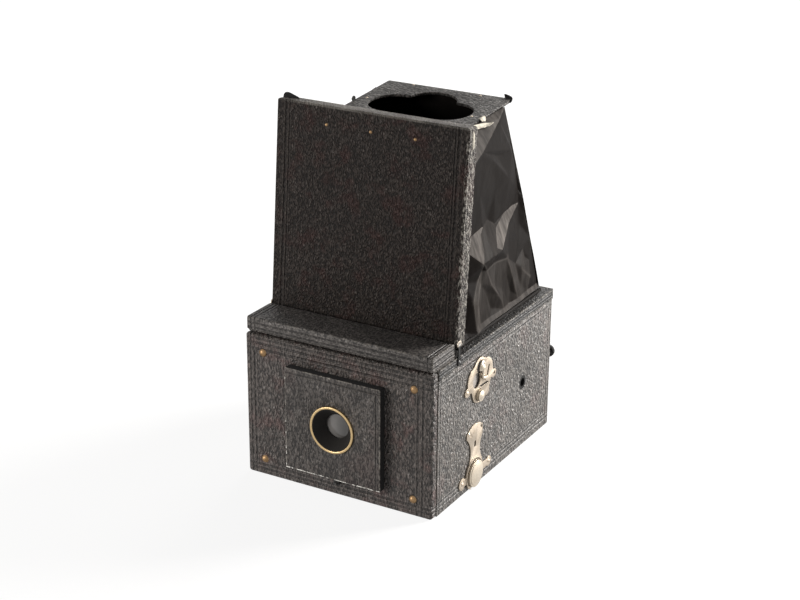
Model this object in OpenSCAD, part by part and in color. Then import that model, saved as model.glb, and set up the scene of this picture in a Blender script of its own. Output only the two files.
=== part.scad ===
// Box reflex camera for quarter plates, about 1900 to 1910, with its viewing hood raised.
// Millimetres. X runs right along the front, Y runs from the lens to the back, Z is up.
// The origin is the bottom centre of the box.

/* [Box] */
// Width of the box
body_w = 140; // [138:0.5:142]
// Depth of the box, from the front board to the back door
body_d = 171; // [170:0.5:172]
// Thickness of the wooden side walls
wall_t = 7.5; // [7:0.5:8]
// Height of the side walls
wall_h = 94.2; // [94:0.1:95]
// Thickness of the base board
base_t = 6; // [5.5:0.1:6]
// Thickness of the front board
front_t = 7; // [6.5:0.1:7]
// Height of the front board
front_h = 100.6; // [99:0.1:100.8]
// Height of the top frame above its seam with the walls
top_frame_h = 6.8; // [6:0.1:6.8]
// Height of the top of the front ledge
ledge_top = 111.6; // [111:0.1:112]

/* [Lens] */
// Height of the lens above the base
lens_z = 49.5; // [49:0.1:50]
// Width of the sliding lens panel
panel_w = 71.5; // [71:0.1:72]
// How far the panel stands in front of the front board
panel_out = 6.2; // [5:0.1:8]
// Outer radius of the brass lens ring
ring_r = 16.25; // [15:0.05:17]
// Width of the brass band
ring_band = 1.7; // [1.2:0.1:2]
// Radius of the clear front glass
glass_r = 8.3; // [7:0.1:9]
// Focusing travel of the lens panel
focus_travel = 14; // [10:0.5:14]

/* [Focusing gear] */
// Module of the rack and pinion
gear_module = 0.6; // [0.6:0.1:0.6]
// Teeth of the pinion
pinion_teeth = 10; // [10:1:10]
// Distance of the spindle behind the middle of the box
spindle_y = -29.2; // [-30:0.1:-28]
// Height of the spindle
spindle_z = 10; // [10:0.1:10.2]
// Radius of the focusing knob
knob_r = 9.3; // [8:0.1:9.3]

/* [Mirror and screen] */
// Height of the ground side of the focusing screen
screen_z = 74.5; // [74.4:0.1:74.6]
// Length of the mirror from its axle to its lower edge
mirror_len = 80; // [76:0.5:82]
// Length of the arms of the lifting linkage
arm_len = 12; // [11:0.1:12]
// Turn of the release lever, which lifts the mirror by as much
release_turn = 45; // [45:1:45]

/* [Lid and hood] */
// Width of the lid
lid_w = 139; // [138:0.5:139]
// Length of the lid
lid_len = 141; // [140:0.5:141]
// Depth of the shallow lid tray
lid_t = 9.6; // [9:0.1:9.6]
// Backward lean of the raised lid in degrees
lid_lean = 4.8; // [4:0.1:6]
// Height of the eye board at its hinge
eye_z = 231.9; // [231:0.1:233]
// Rise of the eye board towards the back in degrees
eye_pitch = 4; // [3:0.1:4]
// Width of the eye board
eye_w = 94; // [92:0.5:96]
// Radius of each eye lobe of the viewing hole
eye_lobe_r = 17.5; // [16:0.1:18]
// Radius of the nose lobe of the viewing hole
nose_lobe_r = 17.8; // [16:0.1:18]
// Depth of the folds pressed into the hood cloth
fold_depth = 2.2; // [0:0.1:3]

/* [Hidden] */
$fn = 48;
slip = 0.05;
half_w = body_w / 2;
front_y = -body_d / 2;
rear_y = body_d / 2;
wall_in = half_w - wall_t;
front_in = front_y + front_t;
rim_z = wall_h + 0.2 + top_frame_h;
edge_r = 1.5;
leather = [0.2, 0.18, 0.17];
dark_wood = [0.13, 0.11, 0.1];
matt_black = [0.07, 0.07, 0.07];
nickel = [0.8, 0.77, 0.7];
brass = [0.72, 0.57, 0.3];
steel = [0.5, 0.5, 0.5];

// The front ledge and the well that holds the folded hood
ledge_front = front_y + 1;
ledge_rear = -56.5;
ledge_rebate = 1.8;
well_front = -41;
well_rear = 66.8;
well_half = 60;
overhang = 1.5;
hood_strip = 3;
hood_front = -43;
hood_rear = 79.9;
hood_strip_h = 2.6;
cloth_foot = rim_z + hood_strip_h;

// The sliding lens box
panel_half = panel_w / 2;
panel_z = lens_z + 0.3;
panel_back = front_y - 0.5;
panel_front = front_y - panel_out;
opening_half = 35.2;
box_half = 34.9;
box_wall = 4.5;
box_rear = -54;
guide_rear = box_rear - focus_travel;
ring_front = panel_front - 1.3;
barrel_r = 15.2;
barrel_in = 13.5;
shutter_y = -68;
shutter_hole_r = 8;
shutter_arm = 24.5;
shutter_park = 55;
blade_r = 9.4;

// The rack and pinion
pitch_r = gear_module * pinion_teeth / 2;
spindle_r = 1.5;
tooth_rise = 0.72 * gear_module;
tooth_fall = 1.05 * gear_module;
tooth_pitch = PI * gear_module;
rack_x = 28;
rack_w = 4;
rack_rear = spindle_y + focus_travel + 3.2;
tooth_half_count = 8;

// The mirror, the plate and the lifting linkage
plate_y = 68;
mirror_mid = plate_y - (screen_z - lens_z);
axle_z = screen_z - 6.9;
axle_y = mirror_mid + axle_z - lens_z + 2.8;
axle_r = 1.5;
mirror_t = 2;
mirror_top_half = 52;
mirror_low_half = 44;
lever_y = -23.7;
lever_z = 84;
lever_rest = -57.5;
lever_len = 11.5;
arm_rest = -110;
shaft_r = 1.75;
link_pin_r = 1;
link_slot = 57.2;
crank_pin = [lever_y + arm_len * cos(arm_rest), lever_z + arm_len * sin(arm_rest)];
mirror_pin = [axle_y + arm_len * cos(arm_rest), axle_z + arm_len * sin(arm_rest)];

// The lid, its pivot and the eye board, in the lid's own directions:
// a runs up the lid from its pivot, b runs from the pivot into the tray
pivot_y = -52.6;
pivot_z = 110;
pivot_depth = 1.6;
pivot_r = 1;
strap_drop = 12.4;
strap_pin_len = 4;
lid_foot = 3.1;
lid_wall = 5;
lid_skin = 3.4;
lid_inner_b = lid_skin - pivot_depth;
lid_rim_b = lid_t - pivot_depth;
eye_b = 4.6;
eye_a = (eye_z - pivot_z + eye_b * sin(lid_lean)) / cos(lid_lean);
eye_hinge_y = pivot_y + eye_a * sin(lid_lean) + eye_b * cos(lid_lean);
eye_front = eye_hinge_y + 1.9;
eye_rear = 59.8;
eye_t = 2;
eye_mid_y = 19.8;
eye_lobe_x = 19.6;
nose_lobe_y = 33.2;
eye_hinge_x = 32;
eye_hinge_w = 14;

// The back door
door_front = 79.5;
door_left = -wall_in + 0.4;
door_right = wall_in - 0.7;
door_low = base_t + 0.4;
door_high = wall_h - 0.2;
hinge_x = -wall_in - 0.1;
hinge_y = rear_y + 1.5;
hinge_r = 1.4;
hinge_len = 15;
latch_x = half_w - wall_t / 2;
latch_z = 52;
bush_y = 12;
door_hinge_z = [22, 76];

// The stamped outline of the release plate, each [y, z], and the lobes of the other fittings, each [y, z, r]
release_edge = [[-23.2, 90.8], [-20.8, 90.2], [-17.6, 88.2], [-15.2, 87.4], [-12.8, 87.1], [-9.8, 85.6], [-7.4, 83],
    [-6.4, 80.2], [-6.2, 77.6], [-5.2, 75.4], [-3, 75.2], [-1, 73.6], [-1.2, 71.2], [-3.2, 69.6], [-5.8, 69.8],
    [-8.2, 70.8], [-9.4, 68.4], [-10.4, 65.6], [-10.6, 62.8], [-12.2, 60.8], [-15, 60.4], [-18.2, 61], [-21.4, 59.8],
    [-25, 59.4], [-29.2, 60.4], [-32.4, 63], [-33.8, 66.4], [-35, 69.4], [-36.8, 70.4], [-38.6, 69], [-41.2, 68.6],
    [-43.8, 70], [-44.4, 72.6], [-42.6, 74.6], [-40.6, 75.2], [-40.6, 78.6], [-39.4, 82.2], [-36.4, 85.2],
    [-32.4, 86.4], [-29.8, 88.6], [-26.4, 90.6]];
release_ears = [[-41.2, 71.8], [-3.6, 72.4]];
button_y = -25.2;
button_z = 64.8;
button_r = 4;
index_y = -28.6;
index_z = 76;
knob_ears = [[-45.4, 8.4, 4.2], [-8.4, 9.8, 3.6]];
knob_screws = [[-19.8, 40.4], [-45.4, 8.4], [-8.4, 9.8]];
front_nail_x = [-56.4, 56.4];
front_nail_z = [12, 88.5];

module soft_rect(x0, x1, y0, y1, r) {
    translate([x0 + r, y0]) square([x1 - x0 - 2 * r, y1 - y0]);
    translate([x0, y0 + r]) square([x1 - x0, y1 - y0 - 2 * r]);
    for (x = [x0 + r, x1 - r])
        for (y = [y0 + r, y1 - r])
            translate([x, y]) circle(r);
}

module block(x0, x1, y0, y1, z0, z1)
    translate([x0, y0, z0]) cube([x1 - x0, y1 - y0, z1 - z0]);

// A flat shape drawn in X and Z, standing from y0 back to y1
module upright(y0, y1) translate([0, y1, 0]) rotate([90, 0, 0]) linear_extrude(y1 - y0) children();

// A flat shape drawn in Y and Z, standing from x0 to x1
module sideways(x0, x1) translate([x0, 0, 0]) rotate([90, 0, 90]) linear_extrude(x1 - x0) children();

// A rod or hole along X or Y
module rod_x(x0, x1, y, z, r) translate([x0, y, z]) rotate([0, 90, 0]) cylinder(h = x1 - x0, r = r);
module rod_y(y0, y1, x, z, r) translate([x, y0, z]) rotate([-90, 0, 0]) cylinder(h = y1 - y0, r = r);

// A low domed nail or screw head, its flat foot on the origin and its dome along +Z
module dome(r, h) {
    ball = (r * r + h * h) / (2 * h);
    rotate_extrude() intersection() {
        translate([0, h - ball]) circle(ball);
        square([r, h]);
    }
}

module in_lid() translate([0, pivot_y, pivot_z]) rotate([90 - lid_lean, 0, 0]) children();

module strap_groove(side) {
    x0 = side > 0 ? half_w - 0.2 : -half_w - 1;
    block(x0, x0 + 1.2, pivot_y - 2.8, pivot_y + 2.8, pivot_z - 15.2, pivot_z);
}

// Box

module base_board() {
    color(leather) difference() {
        block(-wall_in, wall_in, front_in, rear_y, 0, base_t);
        translate([0, bush_y, -1]) cylinder(h = base_t + 2, r = 5);
    }
}

// A bore into the inner face of a side wall that stops short of the leather
module blind_bore(side, y, z, r)
    rod_x(side > 0 ? wall_in - 1 : -wall_in - 5.2, side > 0 ? wall_in + 5.2 : -wall_in + 1, y, z, r);

module side_wall(side) {
    x0 = side > 0 ? wall_in : -half_w;
    difference() {
        intersection() {
            block(x0, x0 + wall_t, front_in, rear_y, 0, wall_h);
            linear_extrude(wall_h) soft_rect(-half_w, half_w, front_y, rear_y, edge_r);
        }
        strap_groove(side);
        blind_bore(side, spindle_y, spindle_z, spindle_r + slip);
        blind_bore(side, axle_y, axle_z, axle_r + slip);
    }
}

module left_wall() color(leather) side_wall(-1);

module right_wall() {
    color(leather) difference() {
        side_wall(1);
        rod_x(wall_in - 1, half_w + 1, spindle_y, spindle_z, spindle_r + slip);
        rod_x(wall_in - 1, half_w + 1, lever_y, lever_z, shaft_r + slip);
        rod_x(wall_in - 1, half_w + 1, 41.5, 47.8, 5);
        rod_x(half_w - 1.6, half_w + 1, index_y, index_z, 6);
        rod_x(half_w - 4, half_w + 1, button_y, button_z, 4.9);
        rod_y(rear_y - 4.2, rear_y + 1, latch_x, latch_z, 1 + slip);
    }
}

module front_board() {
    color(leather) difference() {
        upright(front_y, front_in) difference() {
            soft_rect(-half_w, half_w, 0, front_h, edge_r);
            translate([-opening_half, panel_z - opening_half]) square(2 * opening_half);
        }
        for (x = front_nail_x)
            for (z = front_nail_z)
                rod_y(front_y - 1, front_y + 5, x, z, 1.2);
    }
}

module front_ledge() {
    color(leather) sideways(-half_w + 1, half_w - 1) {
        translate([ledge_front + ledge_rebate, rim_z]) square([ledge_rear - ledge_front - ledge_rebate, 3]);
        soft_rect(ledge_front, ledge_rear, rim_z + 1.2, ledge_top, edge_r);
    }
}

module top_frame() {
    color(leather) difference() {
        translate([0, 0, wall_h + 0.2]) linear_extrude(top_frame_h) difference() {
            soft_rect(-half_w, half_w, front_in + 0.3, rear_y + overhang, edge_r);
            translate([-well_half, well_front]) square([2 * well_half, well_rear - well_front]);
        }
        for (side = [-1, 1]) {
            strap_groove(side);
            rod_x(side > 0 ? half_w - strap_pin_len : -half_w - 1, side > 0 ? half_w + 1 : -half_w + strap_pin_len,
                pivot_y, pivot_z - strap_drop, pivot_r);
        }
    }
}

module hood_base_frame() {
    color(matt_black) translate([0, 0, rim_z]) linear_extrude(hood_strip_h) difference() {
        soft_rect(-62, 62, hood_front, hood_rear, 1);
        soft_rect(-62 + hood_strip, 62 - hood_strip, hood_front + hood_strip, hood_rear - hood_strip, 1);
    }
}

// Well and focusing screen

module well_floor() {
    color(matt_black) {
        difference() {
            block(-wall_in, wall_in, well_front - 2, -7, screen_z - 1, screen_z + 1.6);
            block(link_slot, wall_in + 1, lever_y - 15, -6, screen_z - 2, screen_z + 3);
        }
        block(-wall_in, wall_in, well_front - 2, well_front, screen_z + 1.6, wall_h + 0.2);
    }
}

module screen_frame() {
    color(dark_wood) difference() {
        block(-wall_in, wall_in, -7, plate_y - 1.2, screen_z - 2.5, screen_z + 2);
        block(-52, 52, 1.5, 61.5, screen_z - 3, screen_z + 3);
        block(-55.05, 55.05, -1.55, 64.55, screen_z, screen_z + 3);
        block(link_slot, 60.4, -8, 16, screen_z - 3, screen_z + 3);
    }
}

module focusing_screen() {
    color([0.8, 0.82, 0.8, 0.6]) block(-55, 55, -1.5, 64.5, screen_z, screen_z + 2);
}

// Plate chamber

module plate_mask() {
    color(matt_black) upright(plate_y - 1.2, plate_y - 0.1) difference() {
        translate([-wall_in, base_t]) square([2 * wall_in, wall_h - base_t]);
        translate([-53, 9.5]) square([106, screen_z - 12]);
    }
}

module plate_rails() {
    color(dark_wood) for (side = [-1, 1]) {
        x0 = side > 0 ? 55.6 : -wall_in;
        block(x0, x0 + wall_in - 55.6, plate_y, plate_y + 6, base_t, wall_h);
    }
}

module plate_sheath() {
    color(matt_black) difference() {
        block(-55.3, 55.3, plate_y, plate_y + 3, base_t, 91);
        block(-54.2, 54.2, plate_y - 1, plate_y + 2.2, base_t + 1, 90);
    }
    color(matt_black) for (side = [-1, 1]) {
        x0 = side > 0 ? 53.1 : -54.2;
        block(x0, x0 + 1.1, plate_y, plate_y + 0.4, base_t + 1, 90);
    }
}

module glass_plate() {
    color([0.55, 0.6, 0.58]) block(-54, 54, plate_y + 0.5, plate_y + 2.1, 7.2, 89.8);
}

// Sliding lens panel

module lens_guide() {
    color(dark_wood) difference() {
        upright(front_in, guide_rear) difference() {
            square_at(0, panel_z, 41);
            square_at(0, panel_z, opening_half);
        }
        for (x = [-rack_x, rack_x])
            block(x - 2.6, x + 2.6, front_in - 1, guide_rear + 1, 12.2, 16);
    }
}

module square_at(x, z, half) translate([x - half, z - half]) square(2 * half);

module lens_panel() {
    color(leather) upright(panel_front, panel_back) difference() {
        soft_rect(-panel_half, panel_half, panel_z - panel_half, panel_z + panel_half, 0.8);
        translate([0, lens_z]) circle(ring_r);
    }
}

module lens_box() {
    color(dark_wood) upright(panel_back, box_rear) difference() {
        square_at(0, panel_z, box_half);
        square_at(0, panel_z, box_half - box_wall);
    }
}

module turned(profile_y) translate([0, profile_y, lens_z]) rotate([-90, 0, 0])
    rotate_extrude($fn = 96) children();

module lens_ring() {
    color(brass) turned(ring_front) {
        difference() {
            soft_rect(ring_r - ring_band, ring_r, 0, 7, 0.6);
            translate([0, 3]) square([ring_r - ring_band, 5]);
        }
    }
}

module lens_funnel() {
    mouth = ring_r - ring_band;
    color(matt_black) turned(ring_front) polygon([[mouth, 0.4], [mouth - 0.4, 0.4], [glass_r, 8],
        [glass_r + 1.3, 8], [glass_r + 1.3, 12.6], [barrel_in, 12.6], [barrel_in, 7], [mouth, 7]]);
}

// A lens turned about the optical axis, rim_r across, with a crown on each face
module lens_element(y0, rim_r, rim_t, crown) {
    ball = (rim_r * rim_r + crown * crown) / (2 * crown);
    turned(y0) intersection() {
        square([rim_r, rim_t]);
        translate([0, ball]) circle(ball, $fn = 480);
        translate([0, rim_t - ball]) circle(ball, $fn = 480);
    }
}

module front_glass() color([0.75, 0.8, 0.78, 0.5]) lens_element(ring_front + 8, glass_r + 1.3, 4.4, 1.2);

module rear_glass() color([0.75, 0.8, 0.78, 0.5]) lens_element(-77, 10.2, 3.2, 0.9);

module retaining_ring() {
    color(brass) turned(-73.8) difference() {
        square([barrel_in, 1.6]);
        square([9, 1.6]);
    }
}

module lens_barrel() {
    color(matt_black) turned(ring_front + 7) {
        translate([barrel_in, 0]) square([barrel_r - barrel_in, 16]);
        translate([barrel_r, 0.2]) square([4.5, 1.6]);
        translate([6, 6.8]) square([barrel_in - 6, 0.8]);
        translate([10.2, 9]) square([barrel_in - 10.2, 3.2]);
    }
}

module shutter_plate() {
    inner = box_half - box_wall;
    color(matt_black) {
        upright(shutter_y, shutter_y + 1.5) difference() {
            square_at(0, panel_z, inner);
            translate([0, lens_z]) circle(shutter_hole_r);
        }
        rod_y(shutter_y + 1.5, shutter_y + 3.6, 0, lens_z + shutter_arm, 1.5);
    }
}

module shutter_blade() {
    color(steel) translate([0, shutter_y + 2, lens_z + shutter_arm]) rotate([0, shutter_park, 0])
        translate([0, 0.8, 0]) rotate([90, 0, 0]) linear_extrude(0.8) difference() {
            union() {
                circle(3.4);
                translate([-3, -shutter_arm]) square([6, shutter_arm]);
                translate([0, -shutter_arm]) circle(blade_r);
            }
            circle(1.5 + slip);
        }
}

module rack_tooth() {
    tip = 0.2 * tooth_pitch;
    root = 0.36 * tooth_pitch;
    polygon([[-root / 2, tooth_fall], [-tip / 2, -tooth_rise], [tip / 2, -tooth_rise], [root / 2, tooth_fall]]);
}

module focus_racks() {
    pitch_z = spindle_z + pitch_r;
    bar_z = pitch_z + tooth_fall - 0.02;
    color(brass) for (x = [-rack_x, rack_x]) {
        block(x - rack_w / 2, x + rack_w / 2, -63, rack_rear, bar_z, panel_z - box_half);
        block(x - rack_w / 2, x + rack_w / 2, box_rear, rack_rear, panel_z - box_half - 0.1, 16.4);
        sideways(x - rack_w / 2, x + rack_w / 2)
            for (i = [-tooth_half_count : tooth_half_count])
                translate([spindle_y + (i + 0.5) * tooth_pitch, pitch_z]) rack_tooth();
    }
}

module panel_catch() {
    color(matt_black) {
        block(0.2, 4.2, panel_front + 0.9, panel_back - 0.2, panel_z - panel_half - 3.4, panel_z - panel_half);
        block(1.2, 3.2, panel_front - 0.5, panel_front + 0.9, panel_z - panel_half - 3.4, panel_z - panel_half - 1.4);
    }
}

module focus_spindle() color(steel) rod_x(-wall_in - 5, 72.2, spindle_y, spindle_z, spindle_r);

// A short pinion; its tooth spaces lie square below and above the shaft
module pinion_shape() {
    root_r = pitch_r - tooth_fall;
    tip_r = pitch_r + tooth_rise;
    difference() {
        union() {
            circle(root_r + 0.01);
            for (i = [0 : pinion_teeth - 1])
                rotate(90 + i * 360 / pinion_teeth)
                    polygon([[root_r * 0.9, -0.44], [pitch_r, -0.36], [tip_r, -0.14],
                        [tip_r, 0.14], [pitch_r, 0.36], [root_r * 0.9, 0.44]]);
        }
        circle(spindle_r);
    }
}

module focus_pinions() {
    color(brass) for (x = [-rack_x, rack_x])
        sideways(x - rack_w / 2 - 0.2, x + rack_w / 2 + 0.2)
            translate([spindle_y, spindle_z]) pinion_shape();
}

module focus_knob() {
    color(nickel) difference() {
        union() {
            rod_x(71.2, 72.6, spindle_y, spindle_z, knob_r);
            rod_x(72.6, 73.1, spindle_y, spindle_z, knob_r - 0.6);
        }
        rod_x(71, 72.2, spindle_y, spindle_z, spindle_r);
    }
}

// Nickelled fittings on the right side

module lobe(l) translate([l[0], l[1]]) circle(l[2]);

module release_windows() {
    translate([index_y, index_z]) circle(5.2);
    polygon([[-15.1, 73.4], [-13.2, 73], [-10.3, 81.2], [-12.1, 81.6]]);
    polygon([[-25.6, 71], [-21.4, 69], [-11, 69], [-14.5, 70.5]]);
    translate([button_y, button_z]) circle(button_r + 0.25);
    translate([lever_y, lever_z]) circle(4.4);
    for (l = release_ears) translate(l) circle(1);
}

module release_plate() {
    color(nickel) sideways(half_w, half_w + 0.9) difference() {
        polygon(release_edge);
        release_windows();
    }
}

module index_disc() color([0.6, 0.59, 0.56]) rod_x(half_w - 1.6, half_w - 0.8, index_y, index_z, 6);

module knob_outline() {
    translate([spindle_y, spindle_z]) circle(11.3);
    for (l = knob_ears) {
        lobe(l);
        translate([min(l[0], spindle_y), l[1] - 2.6]) square([abs(l[0] - spindle_y), 5.2]);
    }
    // The waisted neck widens into a head with a round top
    difference() {
        intersection() {
            translate([-40.2, 15]) square([22, 31]);
            translate([-29, 28.4]) circle(17);
        }
        translate([-49.6, 26]) circle(15.2);
        translate([-7.4, 26]) circle(14);
    }
    translate([-35, 15]) square([13.6, 8]);
}

module knob_plate() {
    color(nickel) {
        sideways(half_w, half_w + 0.8) difference() {
            intersection() {
                knob_outline();
                translate([-60, 0.5]) square([60, 60]);
            }
            translate([spindle_y, spindle_z]) circle(spindle_r + 0.2);
            for (s = knob_screws) translate(s) circle(1);
            soft_rect(-29.7, -27.3, 28.9, 33.3, 1.1);
            translate([-37.6, 41]) circle(0.8);
        }
        // A raised rim guards the knob
        sideways(half_w + 0.8, half_w + 1.5) intersection() {
            difference() {
                translate([spindle_y, spindle_z]) circle(11.3);
                translate([spindle_y, spindle_z]) circle(10.5);
            }
            translate([-60, 0.5]) square([60, 60]);
        }
    }
}

module plate_screws() {
    spots = [[release_ears[0][0], release_ears[0][1], 0.9], [-45.4, 8.4, 0.8], [-8.4, 9.8, 0.8], [-37.6, 41, 0.8]];
    color(steel) for (s = spots)
        translate([half_w + s[2], s[0], s[1]]) rotate([0, 90, 0]) dome(1.5, 0.6);
}

module release_lever() {
    // The arm hangs from the hub and ends in a rounded finger piece
    color(nickel) sideways(half_w + 1.2, half_w + 2.7) difference() {
        union() {
            translate([lever_y, lever_z]) circle(3.5);
            translate([lever_y, lever_z]) rotate(lever_rest) translate([0, -1.5]) square([lever_len, 3]);
            translate([lever_y + lever_len * cos(lever_rest), lever_z + lever_len * sin(lever_rest)]) circle(2.3);
        }
        translate([lever_y, lever_z]) circle(shaft_r);
    }
}

module lever_cap() {
    color(nickel) translate([half_w + 2.7, lever_y, lever_z]) rotate([0, 90, 0]) dome(2.6, 1.4);
}

module release_shaft() {
    color(steel) {
        rod_x(60, half_w + 2.7, lever_y, lever_z, shaft_r);
        rod_x(60, 61.8, lever_y, lever_z, 2.8);
        sideways(60, 61.8) translate([lever_y, lever_z]) rotate(arm_rest)
            translate([0, -1.6]) square([arm_len, 3.2]);
        rod_x(60, 61.8, crank_pin[0], crank_pin[1], 2);
        rod_x(57.6, 61, crank_pin[0], crank_pin[1], link_pin_r);
    }
}

module mirror_link() {
    run = mirror_pin - crank_pin;
    reach = norm(run);
    color(steel) sideways(58, 59.6) difference() {
        union() {
            for (p = [crank_pin, mirror_pin]) translate(p) circle(2.3);
            translate(crank_pin) rotate(atan2(run[1], run[0])) translate([0, -1.4]) square([reach, 2.8]);
        }
        translate(crank_pin) circle(link_pin_r + slip);
        translate(mirror_pin) circle(link_pin_r + 0.15);
    }
}

module release_button() {
    color(nickel) {
        rod_x(half_w - 1, half_w + 3.2, button_y, button_z, button_r - 0.15);
        translate([half_w + 3.2, button_y, button_z]) rotate([0, 90, 0]) dome(button_r - 0.9, 0.8);
    }
}

// Screws, bushes and nails on the box

module front_nails() {
    color(brass) for (x = front_nail_x)
        for (z = front_nail_z)
            translate([x, front_y, z]) rotate([90, 0, 0]) {
                dome(2.7, 1.6);
                translate([0, 0, -5]) cylinder(h = 5, r = 1.2);
            }
}

module bush(length, r_out) {
    difference() {
        cylinder(h = length, r = r_out);
        translate([0, 0, -1]) cylinder(h = length + 2, r = 3.175);
    }
}

module tripod_bushes() {
    color(brass) {
        translate([half_w - wall_t, 41.5, 47.8]) rotate([0, 90, 0]) bush(wall_t, 5);
        translate([0, bush_y, 0]) bush(base_t, 5);
    }
}

// Lid hinge

module lid_straps() {
    color(nickel) for (side = [-1, 1]) {
        x0 = side > 0 ? half_w - 0.2 : -half_w - 0.5;
        sideways(x0, x0 + 0.7) difference() {
            union() {
                translate([pivot_y, pivot_z]) circle(2.6);
                translate([pivot_y - 1.3, pivot_z - strap_drop]) square([2.6, strap_drop]);
                translate([pivot_y, pivot_z - strap_drop]) circle(2.3);
            }
            translate([pivot_y, pivot_z]) circle(pivot_r + slip);
            translate([pivot_y, pivot_z - strap_drop]) circle(pivot_r);
        }
    }
}

module strap_pins() {
    color(steel) for (side = [-1, 1]) {
        rod_x(side > 0 ? half_w - strap_pin_len : -half_w - 0.5, side > 0 ? half_w + 0.5 : -half_w + strap_pin_len,
            pivot_y, pivot_z - strap_drop, pivot_r);
        translate([side * (half_w + 0.5), pivot_y, pivot_z - strap_drop]) rotate([0, side * 90, 0])
            dome(1.5, 0.7);
    }
}

module lid_pins() {
    color(steel) for (side = [-1, 1]) {
        rod_x(side > 0 ? lid_w / 2 - 5 : -half_w - 0.6, side > 0 ? half_w + 0.6 : -lid_w / 2 + 5,
            pivot_y, pivot_z, pivot_r);
    }
}

// Lid tray, drawn lying on its outer face: X across, Y up the lid, Z outwards from the pivot
module lid_board() {
    color(leather) in_lid() difference() {
        translate([0, 0, pivot_depth - lid_t]) linear_extrude(lid_t)
            soft_rect(-lid_w / 2, lid_w / 2, -lid_foot, lid_len - lid_foot, edge_r);
        translate([0, 0, pivot_depth - lid_t - 1]) linear_extrude(lid_t - lid_skin + 1)
            soft_rect(-lid_w / 2 + lid_wall, lid_w / 2 - lid_wall, lid_wall - lid_foot,
                lid_len - lid_foot - lid_wall, edge_r);
        translate([-half_w, -lid_foot, pivot_depth - lid_t]) rotate([45, 0, 0]) cube([body_w, 1.8, 1.8]);
        for (side = [-1, 1])
            translate([side > 0 ? lid_w / 2 - 5 : -lid_w / 2 - 1, 0, 0]) rotate([0, 90, 0])
                cylinder(h = 6, r = pivot_r);
    }
}

module lid_nails() {
    color(brass) in_lid() for (x = [-32.5, 0, 32])
        translate([x, 125.6, pivot_depth]) dome(1.1, 0.7);
}

// Small butt hinges carry the eye board on the inside of the lid
module eye_hinge_leaves() {
    color(nickel) in_lid() for (x = [-eye_hinge_x, eye_hinge_x]) {
        translate([x - eye_hinge_w / 2, eye_a - 12, -lid_inner_b - 0.7]) cube([eye_hinge_w, 13, 0.7]);
        for (end = [-1, 1])
            translate([x + end * 4.7 - 2.2, eye_a, -eye_b]) {
                rotate([0, 90, 0]) cylinder(h = 4.4, r = 1.1);
                translate([0, -1.1, 0]) cube([4.4, 2.2, eye_b - lid_inner_b - 0.3]);
            }
        translate([x - 7, eye_a, -eye_b]) rotate([0, 90, 0]) cylinder(h = 14, r = 0.5);
    }
}

// Turns what is drawn level about the eye board's hinge
module in_eye() translate([0, eye_hinge_y, eye_z]) rotate([eye_pitch, 0, 0])
    translate([0, -eye_hinge_y, -eye_z]) children();

module eye_hinge_wings() {
    color(nickel) in_eye() for (x = [-eye_hinge_x, eye_hinge_x]) {
        difference() {
            union() {
                rod_x(x - 2.2, x + 2.2, eye_hinge_y, eye_z, 1.1);
                block(x - 2.2, x + 2.2, eye_hinge_y, eye_front, eye_z - 1, eye_z);
            }
            rod_x(x - 3, x + 3, eye_hinge_y, eye_z, 0.5 + slip);
        }
    }
}

module eye_board() {
    color(leather) in_eye() translate([0, 0, eye_z - eye_t / 2]) linear_extrude(eye_t) difference() {
        soft_rect(-eye_w / 2, eye_w / 2, eye_front, eye_rear, edge_r);
        for (x = [-eye_lobe_x, eye_lobe_x]) translate([x, eye_mid_y]) circle(eye_lobe_r);
        translate([-eye_lobe_x, eye_mid_y - eye_lobe_r]) square([2 * eye_lobe_x, 2 * eye_lobe_r]);
        translate([0, nose_lobe_y]) circle(nose_lobe_r);
    }
}

module eye_pins() {
    spots = [[-41.3, 20.9], [-26.6, 58], [25, 56.4], [39.2, 17], [-12, -1.6]];
    color(nickel) in_eye() for (s = spots)
        translate([s[0], s[1], eye_z + eye_t / 2]) dome(0.9, 0.5);
}

// Mirror, hung on its axle and leaning down towards the lens at 45 degrees
module in_mirror() translate([0, axle_y, axle_z]) rotate([release_turn - 180, 0, 0]) children();

module mirror_outline(start, inset) {
    polygon([[-mirror_top_half + inset, start], [mirror_top_half - inset, start],
        [mirror_low_half - inset, mirror_len - inset], [-mirror_low_half + inset, mirror_len - inset]]);
}

module mirror_frame() {
    color(dark_wood) in_mirror() difference() {
        union() {
            linear_extrude(mirror_t) mirror_outline(1.5, 0);
            translate([-mirror_top_half, 0, 0]) rotate([0, 90, 0]) cylinder(h = 2 * mirror_top_half, r = 2.6);
        }
        translate([-mirror_top_half - 1, 0, 0]) rotate([0, 90, 0])
            cylinder(h = 2 * mirror_top_half + 2, r = axle_r);
        translate([-mirror_top_half - 1, -3, -3]) cube([2 * mirror_top_half + 2, 4.8, 1]);
    }
}

module mirror_glass() {
    color([0.85, 0.87, 0.88]) in_mirror() translate([0, 0, -mirror_t]) linear_extrude(mirror_t)
        mirror_outline(3.4, 1);
}

module mirror_axle() {
    color(steel) {
        rod_x(-wall_in - 4.6, wall_in + 4.6, axle_y, axle_z, axle_r);
        sideways(55.6, 57.2) {
            for (p = [[axle_y, axle_z], mirror_pin]) translate(p) circle(2.4);
            translate([axle_y, axle_z]) rotate(arm_rest) translate([0, -1.6]) square([arm_len, 3.2]);
        }
        rod_x(56, 60, mirror_pin[0], mirror_pin[1], link_pin_r);
    }
}

// Back door

module back_door() {
    color(leather) difference() {
        upright(door_front, rear_y) soft_rect(door_left, door_right, door_low, door_high, 1);
        for (z = door_hinge_z)
            block(door_left - 1, door_left + 1.4, rear_y - 0.6, rear_y + 1, z - hinge_len / 2, z + hinge_len / 2);
    }
}

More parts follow.
